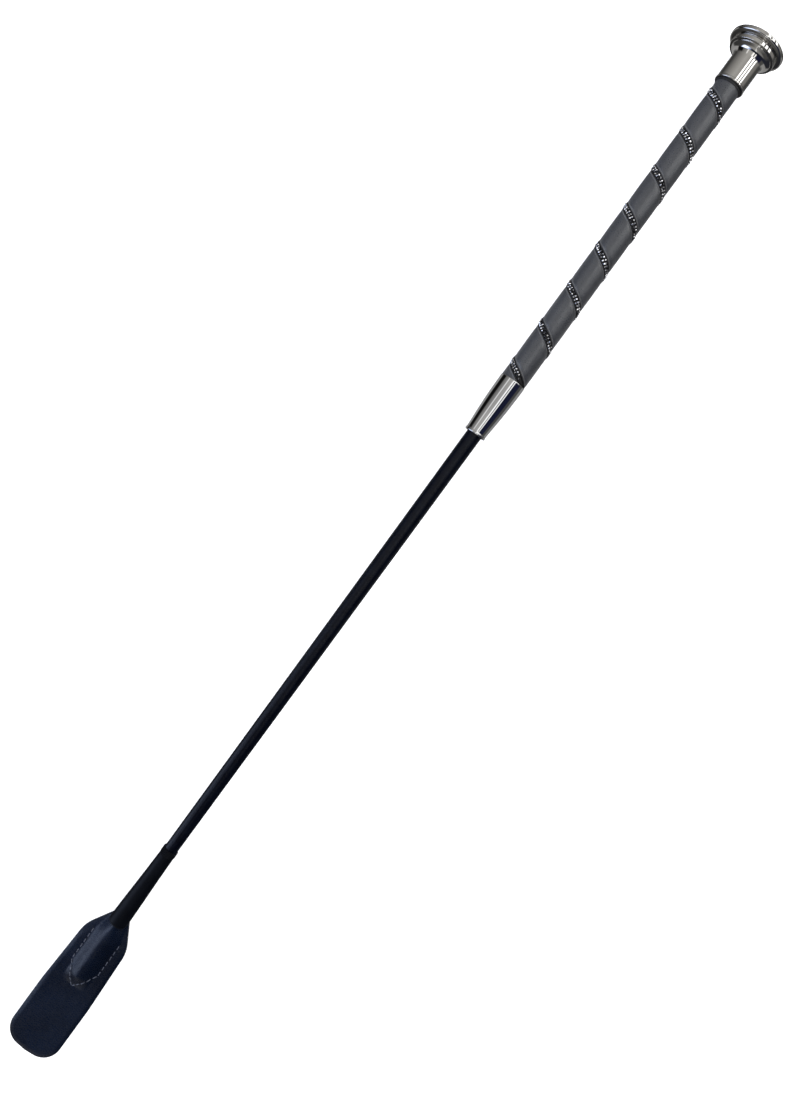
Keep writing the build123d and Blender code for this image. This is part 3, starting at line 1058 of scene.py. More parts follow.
@dataclass
class Neck:
    """The tapered leather sleeve and its bound ring."""

    mouth: tuple[Corner, ...] = (
        (3.0, -1.2, 0.0), (0.1, -0.9, 0.2), (0.0, -0.25, 0.35), (1.0, 0.0, 0.8)
    )
    top: tuple[Corner, ...] = ((-0.2, 0.0, 0.2), (0.0, -0.25, 0.0), (0.0, -0.45, 0.0))
    waist: tuple[Corner, ...] = ((0.3, 0.32, 0.05), (0.65, 0.66, -0.06))  # shares, and a bulge
    waist_round: float = 4.0
    ring_turns: int = 5
    ring_stand: float = 0.3
    ring_depth: float = 0.7
    ring_sunk: float = 0.1
    arc_points: int = 5

    def sleeve(self, palette: Palette) -> None:
        """Turns the sleeve, with its slight waist.

        Args:
            palette: the crop's finishes.
        """
        first, last = AXIS.stretch("neck_sleeve")
        low, high = half_width("neck_sleeve"), half_width("neck_binding") - self.ring_stand
        corners = measured_from(first, low, self.mouth)
        for along, grown, bulge in self.waist:
            radius = low + grown * (high - low) + bulge
            corners.append((first + along * (last - first), radius, self.waist_round))
        corners += measured_from(last, high, self.top)
        piece = turned("neck_sleeve_leather", rounded(corners))
        hand_over(piece, palette.neck, Slot.NECK, "neck_sleeve")

    def ring(self, palette: Palette) -> None:
        """Turns the bound ring, one round ridge for each turn of its thread.

        Args:
            palette: the crop's finishes.
        """
        first, last = AXIS.stretch("neck_binding")
        top = half_width("neck_binding") - self.ring_sunk
        width = (last - first) / self.ring_turns
        profile = [(first, top - self.ring_depth)]
        for index in range(self.ring_turns):
            centre = first + (index + 0.5) * width
            for step in range(self.arc_points):
                angle = math.pi * (step + 0.5) / self.arc_points
                rise = self.ring_stand * math.sin(angle)
                profile.append((centre - width / 2 * math.cos(angle), top - self.ring_stand + rise))
        profile.append((last, top - self.ring_depth))
        piece = turned("neck_thread_ring", profile)
        hand_over(piece, palette.binding, Slot.BINDING, "neck_binding")

    def build(self, palette: Palette) -> None:
        """Builds the sleeve and the ring."""
        self.sleeve(palette)
        self.ring(palette)


# --------------------------------------------------------------------------- metal
@dataclass
class Ferrule:
    """The turned metal ferrule below the grip, a closed shell with a rolled rim at its mouth."""

    taper: float = 1.5
    mouth_rim: tuple[Corner, ...] = (
        (2.0, -0.55, 0.0), (0.1, -0.55, 0.2), (0.0, 0.1, 0.25),
        (0.3, 0.28, 0.25), (1.1, 0.28, 0.2), (1.5, 0.06, 0.2),
    )
    waist: Corner = (19.0, -0.25, 12.0)
    top_rim: tuple[Corner, ...] = (
        (-0.25, 0.0, 0.3), (0.0, -0.12, 0.12), (0.0, -0.5, 0.1), (-2.0, -0.55, 0.0)
    )

    def build(self, palette: Palette) -> None:
        """Turns the ferrule and dresses the bush inside it.

        Args:
            palette: the crop's finishes.
        """
        first, last = AXIS.stretch("ferrule")
        top = half_width("ferrule")
        corners = [
            *measured_from(first, top - self.taper, self.mouth_rim),
            *measured_from(first, top, [self.waist]),
            *measured_from(last, top, self.top_rim),
        ]
        piece = shell("ferrule_shell", corners, steps=8, sides=128)
        hand_over(piece, palette.ferrule_metal, Slot.METAL, "ferrule")
        dress_node("ferrule_bush", palette.nylon)


@dataclass
class Cap:
    """The flared metal cap with its disc and the black ring at its mouth, which is black partly as
    painted shade for the gap round the leather.

    The tables are measured from the cap's mouth and its bore, the mouth and the sleeve, the start
    of the flare and the sleeve, and the cap's end with its flange or its disc.
    """

    sleeve: float = 8.2
    slip: float = 0.12
    flare_length: float = 10.2
    bore_depth: float = 5.0
    chamber: float = 8.0
    pole: float = 0.4
    seal: float = 0.28
    mouth: tuple[Corner, ...] = ((5.0, 0.0, 0.0), (0.2, 0.0, 0.15), (0.0, 0.25, 0.15))
    lip: tuple[Corner, ...] = (
        (0.0, -0.1, 0.15), (0.25, 0.22, 0.25), (1.05, 0.22, 0.25), (1.4, 0.0, 0.3)
    )
    flare: tuple[Corner, ...] = (
        (-0.6, 0.0, 2.0), (1.9, 0.8, 1.6), (3.3, 3.3, 0.25), (3.65, 3.3, 0.12),
        (3.75, 4.72, 0.3), (5.85, 4.82, 0.3), (6.0, 4.3, 0.15), (6.6, 4.3, 0.15),
    )
    rim: tuple[Corner, ...] = (
        (-3.4, -1.6, 0.5), (-2.85, 0.0, 1.1), (-0.55, 0.0, 1.3), (0.0, -1.5, 0.7)
    )
    disc_seat: tuple[Corner, ...] = (
        (0.0, 0.55, 0.2), (-0.55, 0.4, 0.2), (-0.9, 0.12, 0.1), (-1.15, 0.1, 0.0)
    )
    disc: tuple[Corner, ...] = (
        (-1.1, 0.0, 0.15), (-0.35, 0.0, 0.3), (-0.15, -0.8, 0.6),
        (-0.3, -1.3, 0.4), (-0.3, -2.2, 0.4), (-0.02, -3.2, 1.5),
    )

    def body(self, palette: Palette) -> None:
        """Turns the sleeve and flange as one closed shell.

        Args:
            palette: the crop's finishes.
        """
        first, last = AXIS.stretch("cap_body")
        flange, disc = half_width("cap_body"), half_width("cap_disc")
        bore = half_width("cap_mouth_ring") + self.slip
        floor = last + self.disc_seat[-1][0]
        corners = [
            *measured_from(first, bore, self.mouth),
            *measured_from(first, self.sleeve, self.lip),
            *measured_from(last - self.flare_length, self.sleeve, self.flare),
            *measured_from(last, flange, self.rim),
            *measured_from(last, disc, self.disc_seat),
            (floor, self.chamber, 0.0),
            (first + self.bore_depth, bore + 0.05, 0.0),
        ]
        piece = shell("cap_shell", corners, steps=7, sides=128)
        hand_over(piece, palette.cap_metal, Slot.METAL, "cap_body")

    def top_disc(self, palette: Palette) -> None:
        """Turns the disc that is let into the rim.

        Args:
            palette: the crop's finishes.
        """
        last, disc = AXIS.stretch("cap_body")[1], half_width("cap_disc")
        corners = [
            (last + self.disc[0][0], self.pole, 0.0),
            *measured_from(last, disc, self.disc),
            (last, self.pole, 0.0),
        ]
        piece = turned("cap_top_disc", rounded(corners, steps=6), sides=128)
        hand_over(piece, palette.cap_metal, Slot.METAL, "cap_disc")

    def mouth_ring_and_shade(self, palette: Palette) -> None:
        """Turns the black ring that closes the gap round the leather; its black is partly painted
        shade for that gap.

        Args:
            palette: the crop's finishes.
        """
        first, last = AXIS.stretch("cap_mouth_ring")
        outside = half_width("cap_mouth_ring")
        inside = outside - self.seal
        corners = [
            (last, inside, 0.0), (first, inside, 0.1), (first, outside, 0.2), (last, outside, 0.0)
        ]
        piece = shell("cap_mouth_ring_and_shade", corners)
        hand_over(piece, palette.ring, Slot.RING, "cap_mouth_ring")

    def build(self, palette: Palette) -> None:
        """Builds the cap, its disc and its ring, and dresses the plug inside it.

        Args:
            palette: the crop's finishes.
        """
        self.body(palette)
        self.top_disc(palette)
        self.mouth_ring_and_shade(palette)
        dress_node("cap_plug", palette.nylon)


# --------------------------------------------------------------------------- grip
@dataclass
class Grip:
    """The spiral leather of the grip and the jewelled band between its turns."""

    pitch: float = 24.8
    phase: float = 9.5
    depth: float = 0.85
    shoulder: tuple[Point, ...] = (
        (-0.85, 0.0), (-0.42, 0.0), (-0.16, 0.12), (-0.04, 0.36),
        (-0.02, 0.75), (-0.15, 0.98), (-0.03, 1.22),
    )  # of the leather's hem: height from the grip's radius, and distance in from the edge
    pillow: float = 0.10
    pillow_points: int = 11
    hem: tuple[float, float] = (0.1, 0.99)
    hem_depth: float = 0.4
    band: float = 3.7
    tape: float = 0.35
    tape_gap: float = 0.05
    cord: float = 0.5
    cord_sides: int = 8
    cord_sunk: float = 0.12
    stone: float = 1.25
    stone_gap: float = 1.75
    stone_rise: float = 0.42
    stone_lean: float = 0.2
    stone_sizes: tuple[float, float] = (0.94, 1.04)
    girdle_height: float = 0.55
    crown_height: float = 0.28
    table_height: float = 0.6
    crown_taper: float = 0.80
    table_taper: float = 0.62
    row_offset: float = 0.665
    row_margins: tuple[float, float] = (1.1, 0.5)
    steps: int = 72
    seed: int = 7
    radius: float = field(init=False)
    first: float = field(init=False)
    last: float = field(init=False)
    mouth: float = field(init=False)
    stretched: float = field(init=False)

    def __post_init__(self) -> None:
        """Reads the grip's place from the frame, and how much a slanted width grows in line."""
        self.radius = half_width("grip_leather")
        self.first, self.last = AXIS.stretch("grip_leather")
        self.mouth = AXIS.stretch("cap_mouth_ring")[0]
        self.stretched = 1.0 / math.cos(math.atan(self.pitch / (FULL_TURN * self.radius)))

    @property
    def base(self) -> float:
        """Radius that the leather and the tape lie on."""
        return self.radius - self.depth

    def centre(self, turns: float = 0.0) -> float:
        """Station of the band's centre line on the +Y side, below the grip, plus whole turns."""
        return self.first + self.phase - 2.0 * self.pitch + turns * self.pitch

    def wind(self, name: str, outline: Sequence[Point], first: float, last: float) -> Piece:
        """Winds a closed outline round the axis as a left-handed spiral and trims its ends.

        Args:
            name: the piece's name.
            outline: radius and station of each corner of the closed section, in mm.
            first: station of the lower cut.
            last: station of the upper cut.

        Returns:
            The wound piece.
        """
        deselect_all()
        bpy.ops.mesh.primitive_circle_add(vertices=len(outline), radius=MM)
        piece = bpy.context.object
        piece.name = name
        for vertex, (radius, station) in zip(piece.data.vertices, outline):
            vertex.co = Vector((radius, 0.0, station)) * MM
        screw = piece.modifiers.new("winding", "SCREW")
        screw.axis = "Z"
        screw.angle = -FULL_TURN
        screw.screw_offset = self.pitch * MM
        screw.iterations = int((last - first) / self.pitch) + 4
        screw.steps = screw.render_steps = self.steps
        screw.use_merge_vertices = False
        make_active(piece)
        bpy.ops.object.modifier_apply(modifier=screw.name)
        piece.matrix_world = Matrix.Translation(AXIS.start) @ AXIS.turn().to_4x4()
        settle(piece)
        for station, outward in ((first, -AXIS.along), (last, AXIS.along)):
            bpy.ops.object.mode_set(mode="EDIT")
            bpy.ops.mesh.select_all(action="SELECT")
            bpy.ops.mesh.bisect(
                plane_co=AXIS.at(station), plane_no=outward, use_fill=True, clear_outer=True
            )
            bpy.ops.object.mode_set(mode="OBJECT")
        tidy_mesh(piece, 2e-6)
        return piece

    def leather(self, palette: Palette) -> None:
        """Winds the leather strip, with rounded shoulders and a pressed hem line.

        Args:
            palette: the crop's finishes.
        """
        half_gap = self.band / 2.0 * self.stretched
        low, high = self.centre() + half_gap, self.centre(1.0) - half_gap
        shoulder = [(self.radius + drop, inward) for drop, inward in self.shoulder]
        hem_top, hem_width = shoulder[-1]
        outline = [(radius, low + inward) for radius, inward in shoulder]
        for index in range(1, self.pillow_points):
            share = index / self.pillow_points
            station = low + hem_width + share * (high - low - 2.0 * hem_width)
            outline.append((hem_top + self.pillow * math.sin(math.pi * share) ** 0.7, station))
        outline += [(radius, high - inward) for radius, inward in reversed(shoulder)]
        piece = self.wind("grip_leather_strip", outline, self.first, self.last)
        smooth(piece, 60.0)
        hand_over(piece, palette.grip, Slot.GRIP, "grip_leather")
        piece.data.materials.append(palette.hem)
        for face in piece.data.polygons:
            place = (face.center - AXIS.start) / MM
            height, across = place.dot(AXIS.up), place.dot(AXIS.across)
            turn = math.atan2(height, across) / FULL_TURN
            offset = (place.dot(AXIS.along) - self.centre() + turn * self.pitch) % self.pitch
            from_edge = min(offset, self.pitch - offset) - half_gap
            on_top = math.hypot(height, across) > self.radius - self.hem_depth
            if on_top and self.hem[0] < from_edge < self.hem[1]:
                face.material_index = 1

    def edging(self, palette: Palette) -> None:
        """Winds the tape and the two cords.

        Args:
            palette: the crop's finishes.
        """
        base, top, mid = self.base, self.base + self.tape, self.centre()
        half = (self.band / 2.0 - self.tape_gap) * self.stretched
        flat = [(base, mid - half), (top, mid - half), (top, mid + half), (base, mid + half)]
        tape = self.wind("band_backing", flat, self.first + 0.4, self.last - 1.0)
        hand_over(tape, palette.tape, Slot.TAPE, "band_tape")
        offset = (self.band - self.cord) / 2.0 * self.stretched
        for name, side in (("lower", -1.0), ("upper", 1.0)):
            outline: list[Point] = []
            for index in range(self.cord_sides):
                angle = FULL_TURN * (index + 0.5) / self.cord_sides
                radius = self.radius - self.cord_sunk + self.cord / 2.0 * math.sin(angle)
                in_line = self.cord / 2.0 * self.stretched * math.cos(angle)
                outline.append((radius, mid + side * offset + in_line))
            cord = self.wind(f"band_edge_{name}", outline, self.first + 0.3, self.mouth - 0.1)
            smooth(cord, 70.0)
            hand_over(cord, palette.cord, Slot.CORD, f"band_cord_{name}")

    def stone_blank(self) -> Piece:
        """Cuts one stone: eight sides, a sloping crown and a flat table.

        Returns:
            The stone, standing at the origin.
        """
        deselect_all()
        height = (self.radius + self.stone_rise - (self.base + self.tape)) * MM
        girdle = height * self.girdle_height
        bpy.ops.mesh.primitive_cylinder_add(
            vertices=8, radius=self.stone / 2.0 * MM, depth=girdle,
            location=(0.0, 0.0, girdle / 2.0),
        )
        piece = bpy.context.object
        settle(piece)
        bpy.ops.object.mode_set(mode="EDIT")
        bpy.ops.mesh.select_all(action="DESELECT")
        bpy.ops.mesh.select_mode(type="FACE")
        bpy.ops.object.mode_set(mode="OBJECT")
        for face in piece.data.polygons:
            face.select = face.normal.z > 0.9
        bpy.ops.object.mode_set(mode="EDIT")
        crown = Vector((0.0, 0.0, height * self.crown_height))
        table = crown * self.table_height
        for rise, taper in ((crown, self.crown_taper), (table, self.table_taper)):
            bpy.ops.mesh.extrude_region_move(TRANSFORM_OT_translate={"value": rise})
            bpy.ops.transform.resize(value=(taper, taper, 1.0), center_override=(0.0, 0.0, 0.0))
        bpy.ops.mesh.select_mode(type="VERT")
        bpy.ops.object.mode_set(mode="OBJECT")
        return piece

    def seat(self, station: float, side: float) -> Matrix:
        """The place of a stone on the tape.

        Args:
            station: station of the band's centre line there, in mm.
            side: offset of the row from that line along the axis, in mm.

        Returns:
            The stone's matrix: X along the band, Z away from the axis.
        """
        angle = FULL_TURN * (self.centre() - station) / self.pitch
        outward = AXIS.across * math.cos(angle) + AXIS.up * math.sin(angle)
        around = AXIS.up * math.cos(angle) - AXIS.across * math.sin(angle)
        along_band = (around * self.radius * FULL_TURN - AXIS.along * self.pitch).normalized()
        lift = outward * (self.base + self.tape)
        place = AXIS.start + (AXIS.along * (station + side) + lift) * MM
        return standing(place, along_band, outward.cross(along_band), outward)

    def stones(self, palette: Palette) -> None:
        """Sets the two staggered rows of stones, each stone a little turned, tipped and sized.

        Args:
            palette: the crop's finishes.
        """
        blank = self.stone_blank()
        run = math.hypot(FULL_TURN * self.radius, self.pitch)
        step = self.stone_gap * self.pitch / run
        shift = self.row_offset * self.stretched
        first = self.first + self.row_margins[0] + self.stone / 2.0
        last = self.mouth - self.row_margins[1] - self.stone / 2.0
        count = int((last - first - 2.0 * shift) / step)
        for row, (name, side) in enumerate((("lower", -1.0), ("upper", 1.0))):
            chance = random.Random(self.seed + row)
            made: list[Piece] = []
            for index in range(count):
                station = first + shift + (index + 0.5 * row) * step
                spin = Matrix.Rotation(chance.uniform(0.0, math.pi / 4.0), 4, "Z")
                tip = Matrix.Rotation(chance.uniform(-self.stone_lean, self.stone_lean), 4, "X")
                roll = Matrix.Rotation(chance.uniform(-self.stone_lean, self.stone_lean), 4, "Y")
                size = Matrix.Scale(chance.uniform(*self.stone_sizes), 4)
                place = self.seat(station, side * shift) @ (tip @ roll) @ spin @ size
                made.append(copied(blank, place))
            piece = joined(f"band_stones_{name}", made)
            hand_over(piece, palette.stones, Slot.STONES, f"stone_row_{name}")
        discard(blank)

    def build(self, palette: Palette) -> None:
        """Builds the leather, the edging and the stones, and dresses the pieces inside them.

        Args:
            palette: the crop's finishes.
        """
        self.leather(palette)
        self.edging(palette)
        self.stones(palette)
        dress_node("grip_padding", palette.foam)
        dress_node("handle_tube", palette.nylon)


# --------------------------------------------------------------------------- tongue
@dataclass
class Tongue:
    """The two leathers of the tongue, sewn round the rod's end, and their stitches."""

    half: float = 14.95
    shoulder_half: float = 13.4
    neck_half: float = 6.4
    bow: float = 1.3
    corner: float = 10.5
    widest: float = 36.0
    side_round: float = 60.0
    shoulder_back: float = 12.6
    shoulder_round: float = 18.0
    neck_tuck: float = 1.6
    leather: float = 1.6
    bore: float = 2.5
    skive: float = 2.3
    neck_skive: float = 2.6
    skive_drop: float = 0.9
    arris: float = 0.35
    arris_drop: float = 0.22
    bulge_half: float = 7.6
    bulge_narrows: float = 1.9
    bulge_from: float = 41.5
    bulge_run: float = 9.0
    neck_crown: float = 0.75
    pucker: float = 0.20
    pucker_width: float = 0.75
    ripple: float = 0.05
    wave: float = 0.10
    back_round: float = 0.25
    back_arris: float = 0.5
    back_pucker: float = 0.2
    back_pucker_width: float = 0.6
    columns: int = 72
    end_rows: int = 20
    sewn_half: float = 8.2
    sewn_top: float = 9.9
    sewn_turn: float = 29.7
    sewn_point: float = 41.7
    stitch: float = 2.2
    stitch_pitch: float = 2.9
    stitch_radius: float = 0.27
    stitch_flat: float = 0.8
    stitch_lift: float = 0.20
    stitch_slant: float = 0.10
    bend_from: float = 41.5
    bend_to: float = 27.0
    neck_at: float = field(init=False)
    outline: list[Point] = field(init=False)

    def __post_init__(self) -> None:
        """Reads the neck's place from the frame and rounds the outline."""
        self.neck_at = AXIS.stretch("neck_sleeve")[0]
        corners = [
            (0.0, 0.0, 0.0),
            (self.bow, self.half, self.corner),
            (self.widest, self.half, self.side_round),
            (self.neck_at - self.shoulder_back, self.shoulder_half, self.shoulder_round),
            (self.neck_at - 0.6, self.neck_half, 3.0),
            (self.neck_at + self.neck_tuck, self.neck_half - 1.3, 0.0),
        ]
        self.outline = filleted(corners, steps=10)

    @property
    def mid(self) -> float:
        """Height at which the two leathers meet."""
        return -self.bore

    @property
    def sewn_line(self) -> list[Point]:
        """The sewn line: down one side, to a point past the rod's end, and back.

        Returns:
            Station and side of its corners, in mm.
        """
        top, turn, point = (
            self.neck_at - back for back in (self.sewn_top, self.sewn_turn, self.sewn_point)
        )
        half = self.sewn_half
        return [(top, half), (turn, half), (point, 0.0), (turn, -half), (top, -half)]

    def width_at(self, station: float) -> float:
        """Half-width of the tongue at a station past the end's corners.

        Args:
            station: place along the axis, in mm.

        Returns:
            The half-width, in mm.
        """
        best = 0.0
        for (u0, w0), (u1, w1) in zip(self.outline, self.outline[1:]):
            if u0 <= station <= u1 and u1 > u0:
                best = max(best, w0 + (w1 - w0) * (station - u0) / (u1 - u0))
        return best

    def end_point(self, side: float) -> Point:
        """A point on the rounded end.

        Args:
            side: its share of the way along the outline from the middle, -1 to 1.

        Returns:
            Its station and side, in mm.
        """
        end = [(u, w) for u, w in self.outline if u <= self.bow + self.corner + 1.5]
        lengths = [0.0]
        for (u0, w0), (u1, w1) in zip(end, end[1:]):
            lengths.append(lengths[-1] + math.hypot(u1 - u0, w1 - w0))
        want = abs(side) * lengths[-1]
        for index in range(1, len(lengths)):
            if want <= lengths[index] + TINY:
                (u0, w0), (u1, w1) = end[index - 1], end[index]
                t = (want - lengths[index - 1]) / max(TINY, lengths[index] - lengths[index - 1])
                return u0 + (u1 - u0) * t, math.copysign(w0 + (w1 - w0) * t, side)
        return end[-1][0], math.copysign(end[-1][1], side)

    def bulge(self, station: float, side: float) -> float:
        """How far the rod lifts the front leather, in mm.

        Args:
            station: place along the axis.
            side: place across it.

        Returns:
            The lift.
        """
        narrow = smoothstep((station - (self.neck_at - 9.0)) / 9.0)
        share = min(1.0, abs(side) / (self.bulge_half - self.bulge_narrows * narrow))
        rise = smoothstep((station - (self.neck_at - self.bulge_from)) / self.bulge_run)
        crown = self.neck_crown * smoothstep((station - (self.neck_at - 12.0)) / 12.0)
        return (2.0 * self.bore + crown) * rise * (1.0 - share**2) ** 1.6

    def front_height(self, station: float, side: float) -> float:
        """Height of the front leather's face above the axis, in mm.

        Args:
            station: place along the axis.
            side: place across it.

        Returns:
            The height.
        """
        edge = distance_to(Vector((station, abs(side))), self.outline)
        near_neck = smoothstep((station - (self.neck_at - 20.0)) / 13.0)
        slope = 1.0 - min(1.0, edge / (self.skive + self.neck_skive * near_neck))
        drop = self.skive_drop * (0.75 * slope + 0.25 * slope**3)
        drop += self.arris_drop * max(0.0, 1.0 - edge / self.arris) ** 2
        seam = distance_to(Vector((station, side)), self.sewn_line)
        pucker = self.pucker * math.exp(-((seam / self.pucker_width) ** 2))
        ripple = self.ripple * math.sin(station * 2.17) * math.exp(-((seam / 2.0) ** 2))
        wave = self.wave * math.sin(station * 0.16 + 0.7) * math.cos(side * 0.21 + 0.4)
        relief = self.bulge(station, side) - pucker + ripple + wave * (1.0 - slope)
        return self.mid + self.leather - drop + relief

    def front_under(self, station: float, side: float) -> float:
        """Height of the front leather's inner face, lifted over the rod.

        Args:
            station: place along the axis.
            side: place across it.

        Returns:
            The height.
        """
        under = self.front_height(station, side) - self.leather
        return max(self.mid + 0.01, min(under, self.bore))

    def back_top(self, station: float, side: float) -> float:
        """Height of the back leather's inner face, which is flat."""
        return self.mid - 0.02

    def back_face(self, station: float, side: float) -> float:
        """Height of the back leather's outer face, pressed in along the seam.

        Args:
            station: place along the axis.
            side: place across it.

        Returns:
            The height.
        """
        edge = distance_to(Vector((station, abs(side))), self.outline)
        seam = distance_to(Vector((station, side)), self.sewn_line)
        round_off = self.back_round * max(0.0, 1.0 - edge / self.back_arris) ** 2
        pucker = self.back_pucker * math.exp(-((seam / self.back_pucker_width) ** 2))
        return self.mid - self.leather + round_off + pucker

    def plate(self, name: str, top: Height, bottom: Height) -> Piece:
        """Builds one leather from a grid between two faces.

        The grid's rows fan out of the rounded end and then run straight across.

        Args:
            name: the piece's name.
            top: height of the upper face by station and side.
            bottom: height of the lower face.

        Returns:
            The closed leather.
        """
        join_at = self.bow + self.corner + 3.5
        last = self.neck_at + self.neck_tuck - 0.05
        rows = int(self.neck_at + self.neck_tuck - join_at) + 20
        all_rows = self.end_rows + rows
        deselect_all()
        bpy.ops.mesh.primitive_grid_add(
            x_subdivisions=self.columns, y_subdivisions=all_rows, size=1.0
        )
        piece = bpy.context.object
        piece.name = name
        places: dict[Point, Point] = {}
        for vertex in piece.data.vertices:
            across = math.sin(vertex.co.x * math.pi)
            row = (vertex.co.y + 0.5) * all_rows
            if row < self.end_rows:
                share = row / self.end_rows
                u0, w0 = self.end_point(across)
                w1 = across * self.width_at(join_at)
                place = (u0 + (join_at - u0) * share, w0 + (w1 - w0) * share)
            else:
                u = join_at + (last - join_at) * (row - self.end_rows) / rows
                place = (u, across * self.width_at(u))
            places[round(vertex.co.x, 5), round(vertex.co.y, 5)] = place
        make_active(piece)
        bpy.ops.object.mode_set(mode="EDIT")
        bpy.ops.mesh.select_all(action="SELECT")
        bpy.ops.mesh.extrude_region_move(TRANSFORM_OT_translate={"value": (0.0, 0.0, 1.0)})
        bpy.ops.object.mode_set(mode="OBJECT")
        for vertex in piece.data.vertices:
            u, w = places[round(vertex.co.x, 5), round(vertex.co.y, 5)]
            height = top(u, w) if vertex.co.z > 0.5 else bottom(u, w)
            vertex.co = AXIS.at(u, w, height)
        tidy_mesh(piece, 1e-7)
        smooth(piece, 50.0)
        return piece

    def stitch_blank(self) -> Piece:
        """Shapes one stitch: a ball drawn out along X and pressed a little flat.

        Returns:
            The stitch, at the origin.
        """
        deselect_all()
        bpy.ops.mesh.primitive_uv_sphere_add(
            segments=10, ring_count=6, radius=self.stitch_radius * MM
        )
        piece = bpy.context.object
        reach = (self.stitch / 2.0 - self.stitch_radius) * MM
        for vertex in piece.data.vertices:
            across, up, along = vertex.co
            drawn = along + math.copysign(reach, along)
            vertex.co = Vector((drawn, across, up * self.stitch_flat))
        tidy_mesh(piece)
        return piece

    def stitches(self, palette: Palette, name: str, height: Height, facing: float) -> None:
        """Sews one face: a stitch is made once and copied along the line.

        Args:
            palette: the crop's finishes.
            name: the piece's name.
            height: height of the face by station and side.
            facing: 1 for the front, -1 for the back.
        """
        blank = self.stitch_blank()
        slant = Matrix.Rotation(self.stitch_slant, 4, "Z")
        lift = self.stitch_lift * facing
        made: list[Piece] = []
        for start, end in zip(self.sewn_line, self.sewn_line[1:]):
            foot, leg = Vector(start), Vector(end) - Vector(start)
            count = int(leg.length / self.stitch_pitch)
            for index in range(count):
                here = foot + leg * ((index + 0.5) / count)
                ahead = leg.normalized() * (self.stitch / 2.2)
                first, last = (
                    AXIS.at(point.x, point.y, height(*point) + lift)
                    for point in (here - ahead, here + ahead)
                )
                run = (last - first).normalized()
                out = (AXIS.up * facing - run * run.dot(AXIS.up * facing)).normalized()
                place = standing((first + last) / 2.0, run, out.cross(run), out) @ slant
                made.append(copied(blank, place))
        piece = joined(name, made)
        smooth(piece, 60.0)
        hand_over(piece, palette.thread, Slot.THREAD, "pocket_stitching")
        discard(blank)

    def build(self, palette: Palette) -> None:
        """Builds both leathers and their stitches.

        Args:
            palette: the crop's finishes.
        """
        front = self.plate("tongue_front_leather", self.front_height, self.front_under)
        back = self.plate("tongue_back_leather", self.back_top, self.back_face)
        for piece, nodes in ((front, ("tongue_front_pocket", "tongue_front_flap")),
                             (back, ("tongue_back_pocket", "tongue_back_flap"))):
            dress(piece, palette.tongue)
            label(piece, Slot.TONGUE, *nodes)
            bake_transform(piece)
        self.stitches(palette, "pocket_stitches_front", self.front_height, 1.0)
        self.stitches(palette, "pocket_stitches_back", self.back_face, -1.0)


# --------------------------------------------------------------------------- studio
Light = float | tuple[float, float, float]


class Panel(NamedTuple):
    """One stop of the surround: degrees from straight up, towards +Y, and a grey or a colour."""

    angle: float
    light: Light


DIM_NAVY = (0.02, 0.024, 0.06)
WARM_LOW = (0.42, 0.41, 0.40)
WARM_MID = (0.58, 0.57, 0.55)

SIDE_PANELS = (
    Panel(-180.0, 0.40), Panel(-112.0, 0.50), Panel(-104.0, 0.14), Panel(-80.0, 0.12),
    Panel(-72.0, DIM_NAVY), Panel(-29.0, DIM_NAVY), Panel(-26.0, 2.2), Panel(-20.0, 2.2),
    Panel(-18.0, 0.02), Panel(-13.0, 0.02), Panel(-11.0, 2.4), Panel(-2.0, 2.2),
    Panel(0.5, (0.80, 0.79, 0.77)), Panel(30.0, (0.70, 0.69, 0.67)), Panel(33.0, 1.5),
    Panel(38.0, 1.5), Panel(42.0, (0.55, 0.54, 0.53)), Panel(70.0, (0.26, 0.26, 0.255)),
    Panel(75.0, 0.01), Panel(110.0, 0.01), Panel(118.0, 0.60), Panel(180.0, 0.40),
)
CAP_PANELS = (
    Panel(-180.0, 0.25), Panel(-128.0, 0.08), Panel(-104.0, 0.12), Panel(-90.0, (0.34, 0.33, 0.32)),
    Panel(-62.0, (0.44, 0.43, 0.42)), Panel(-60.0, 3.6), Panel(-50.0, 3.6), Panel(-48.0, 0.06),
    Panel(-42.0, 0.06), Panel(-40.0, 4.0), Panel(-30.0, 4.0), Panel(-28.0, 0.06),
    Panel(-22.0, 0.06), Panel(-20.0, 3.6), Panel(-10.0, 3.6), Panel(-8.0, WARM_MID),
    Panel(22.0, (0.72, 0.71, 0.69)), Panel(66.0, WARM_LOW), Panel(96.0, 0.20), Panel(120.0, 0.06),
    Panel(180.0, 0.25),
)
TONGUE_PANELS = (
    Panel(-180.0, 0.04), Panel(-90.0, (0.03, 0.035, 0.06)), Panel(-30.0, (0.01, 0.014, 0.03)),
    Panel(22.0, (0.02, 0.03, 0.06)), Panel(40.0, (1.0, 1.2, 1.8)), Panel(56.0, (2.9, 3.4, 4.6)),
    Panel(86.0, (2.4, 2.8, 3.8)), Panel(98.0, 0.10), Panel(180.0, 0.04),
)
FLARE_PANELS = (
    Panel(-180.0, 0.12), Panel(-104.0, 0.12), Panel(-84.0, 0.34), Panel(-22.0, (0.48, 0.47, 0.46)),
    Panel(-16.0, 1.4), Panel(-4.0, 1.4), Panel(2.0, WARM_MID), Panel(66.0, WARM_LOW),
    Panel(100.0, 0.12), Panel(180.0, 0.12),
)


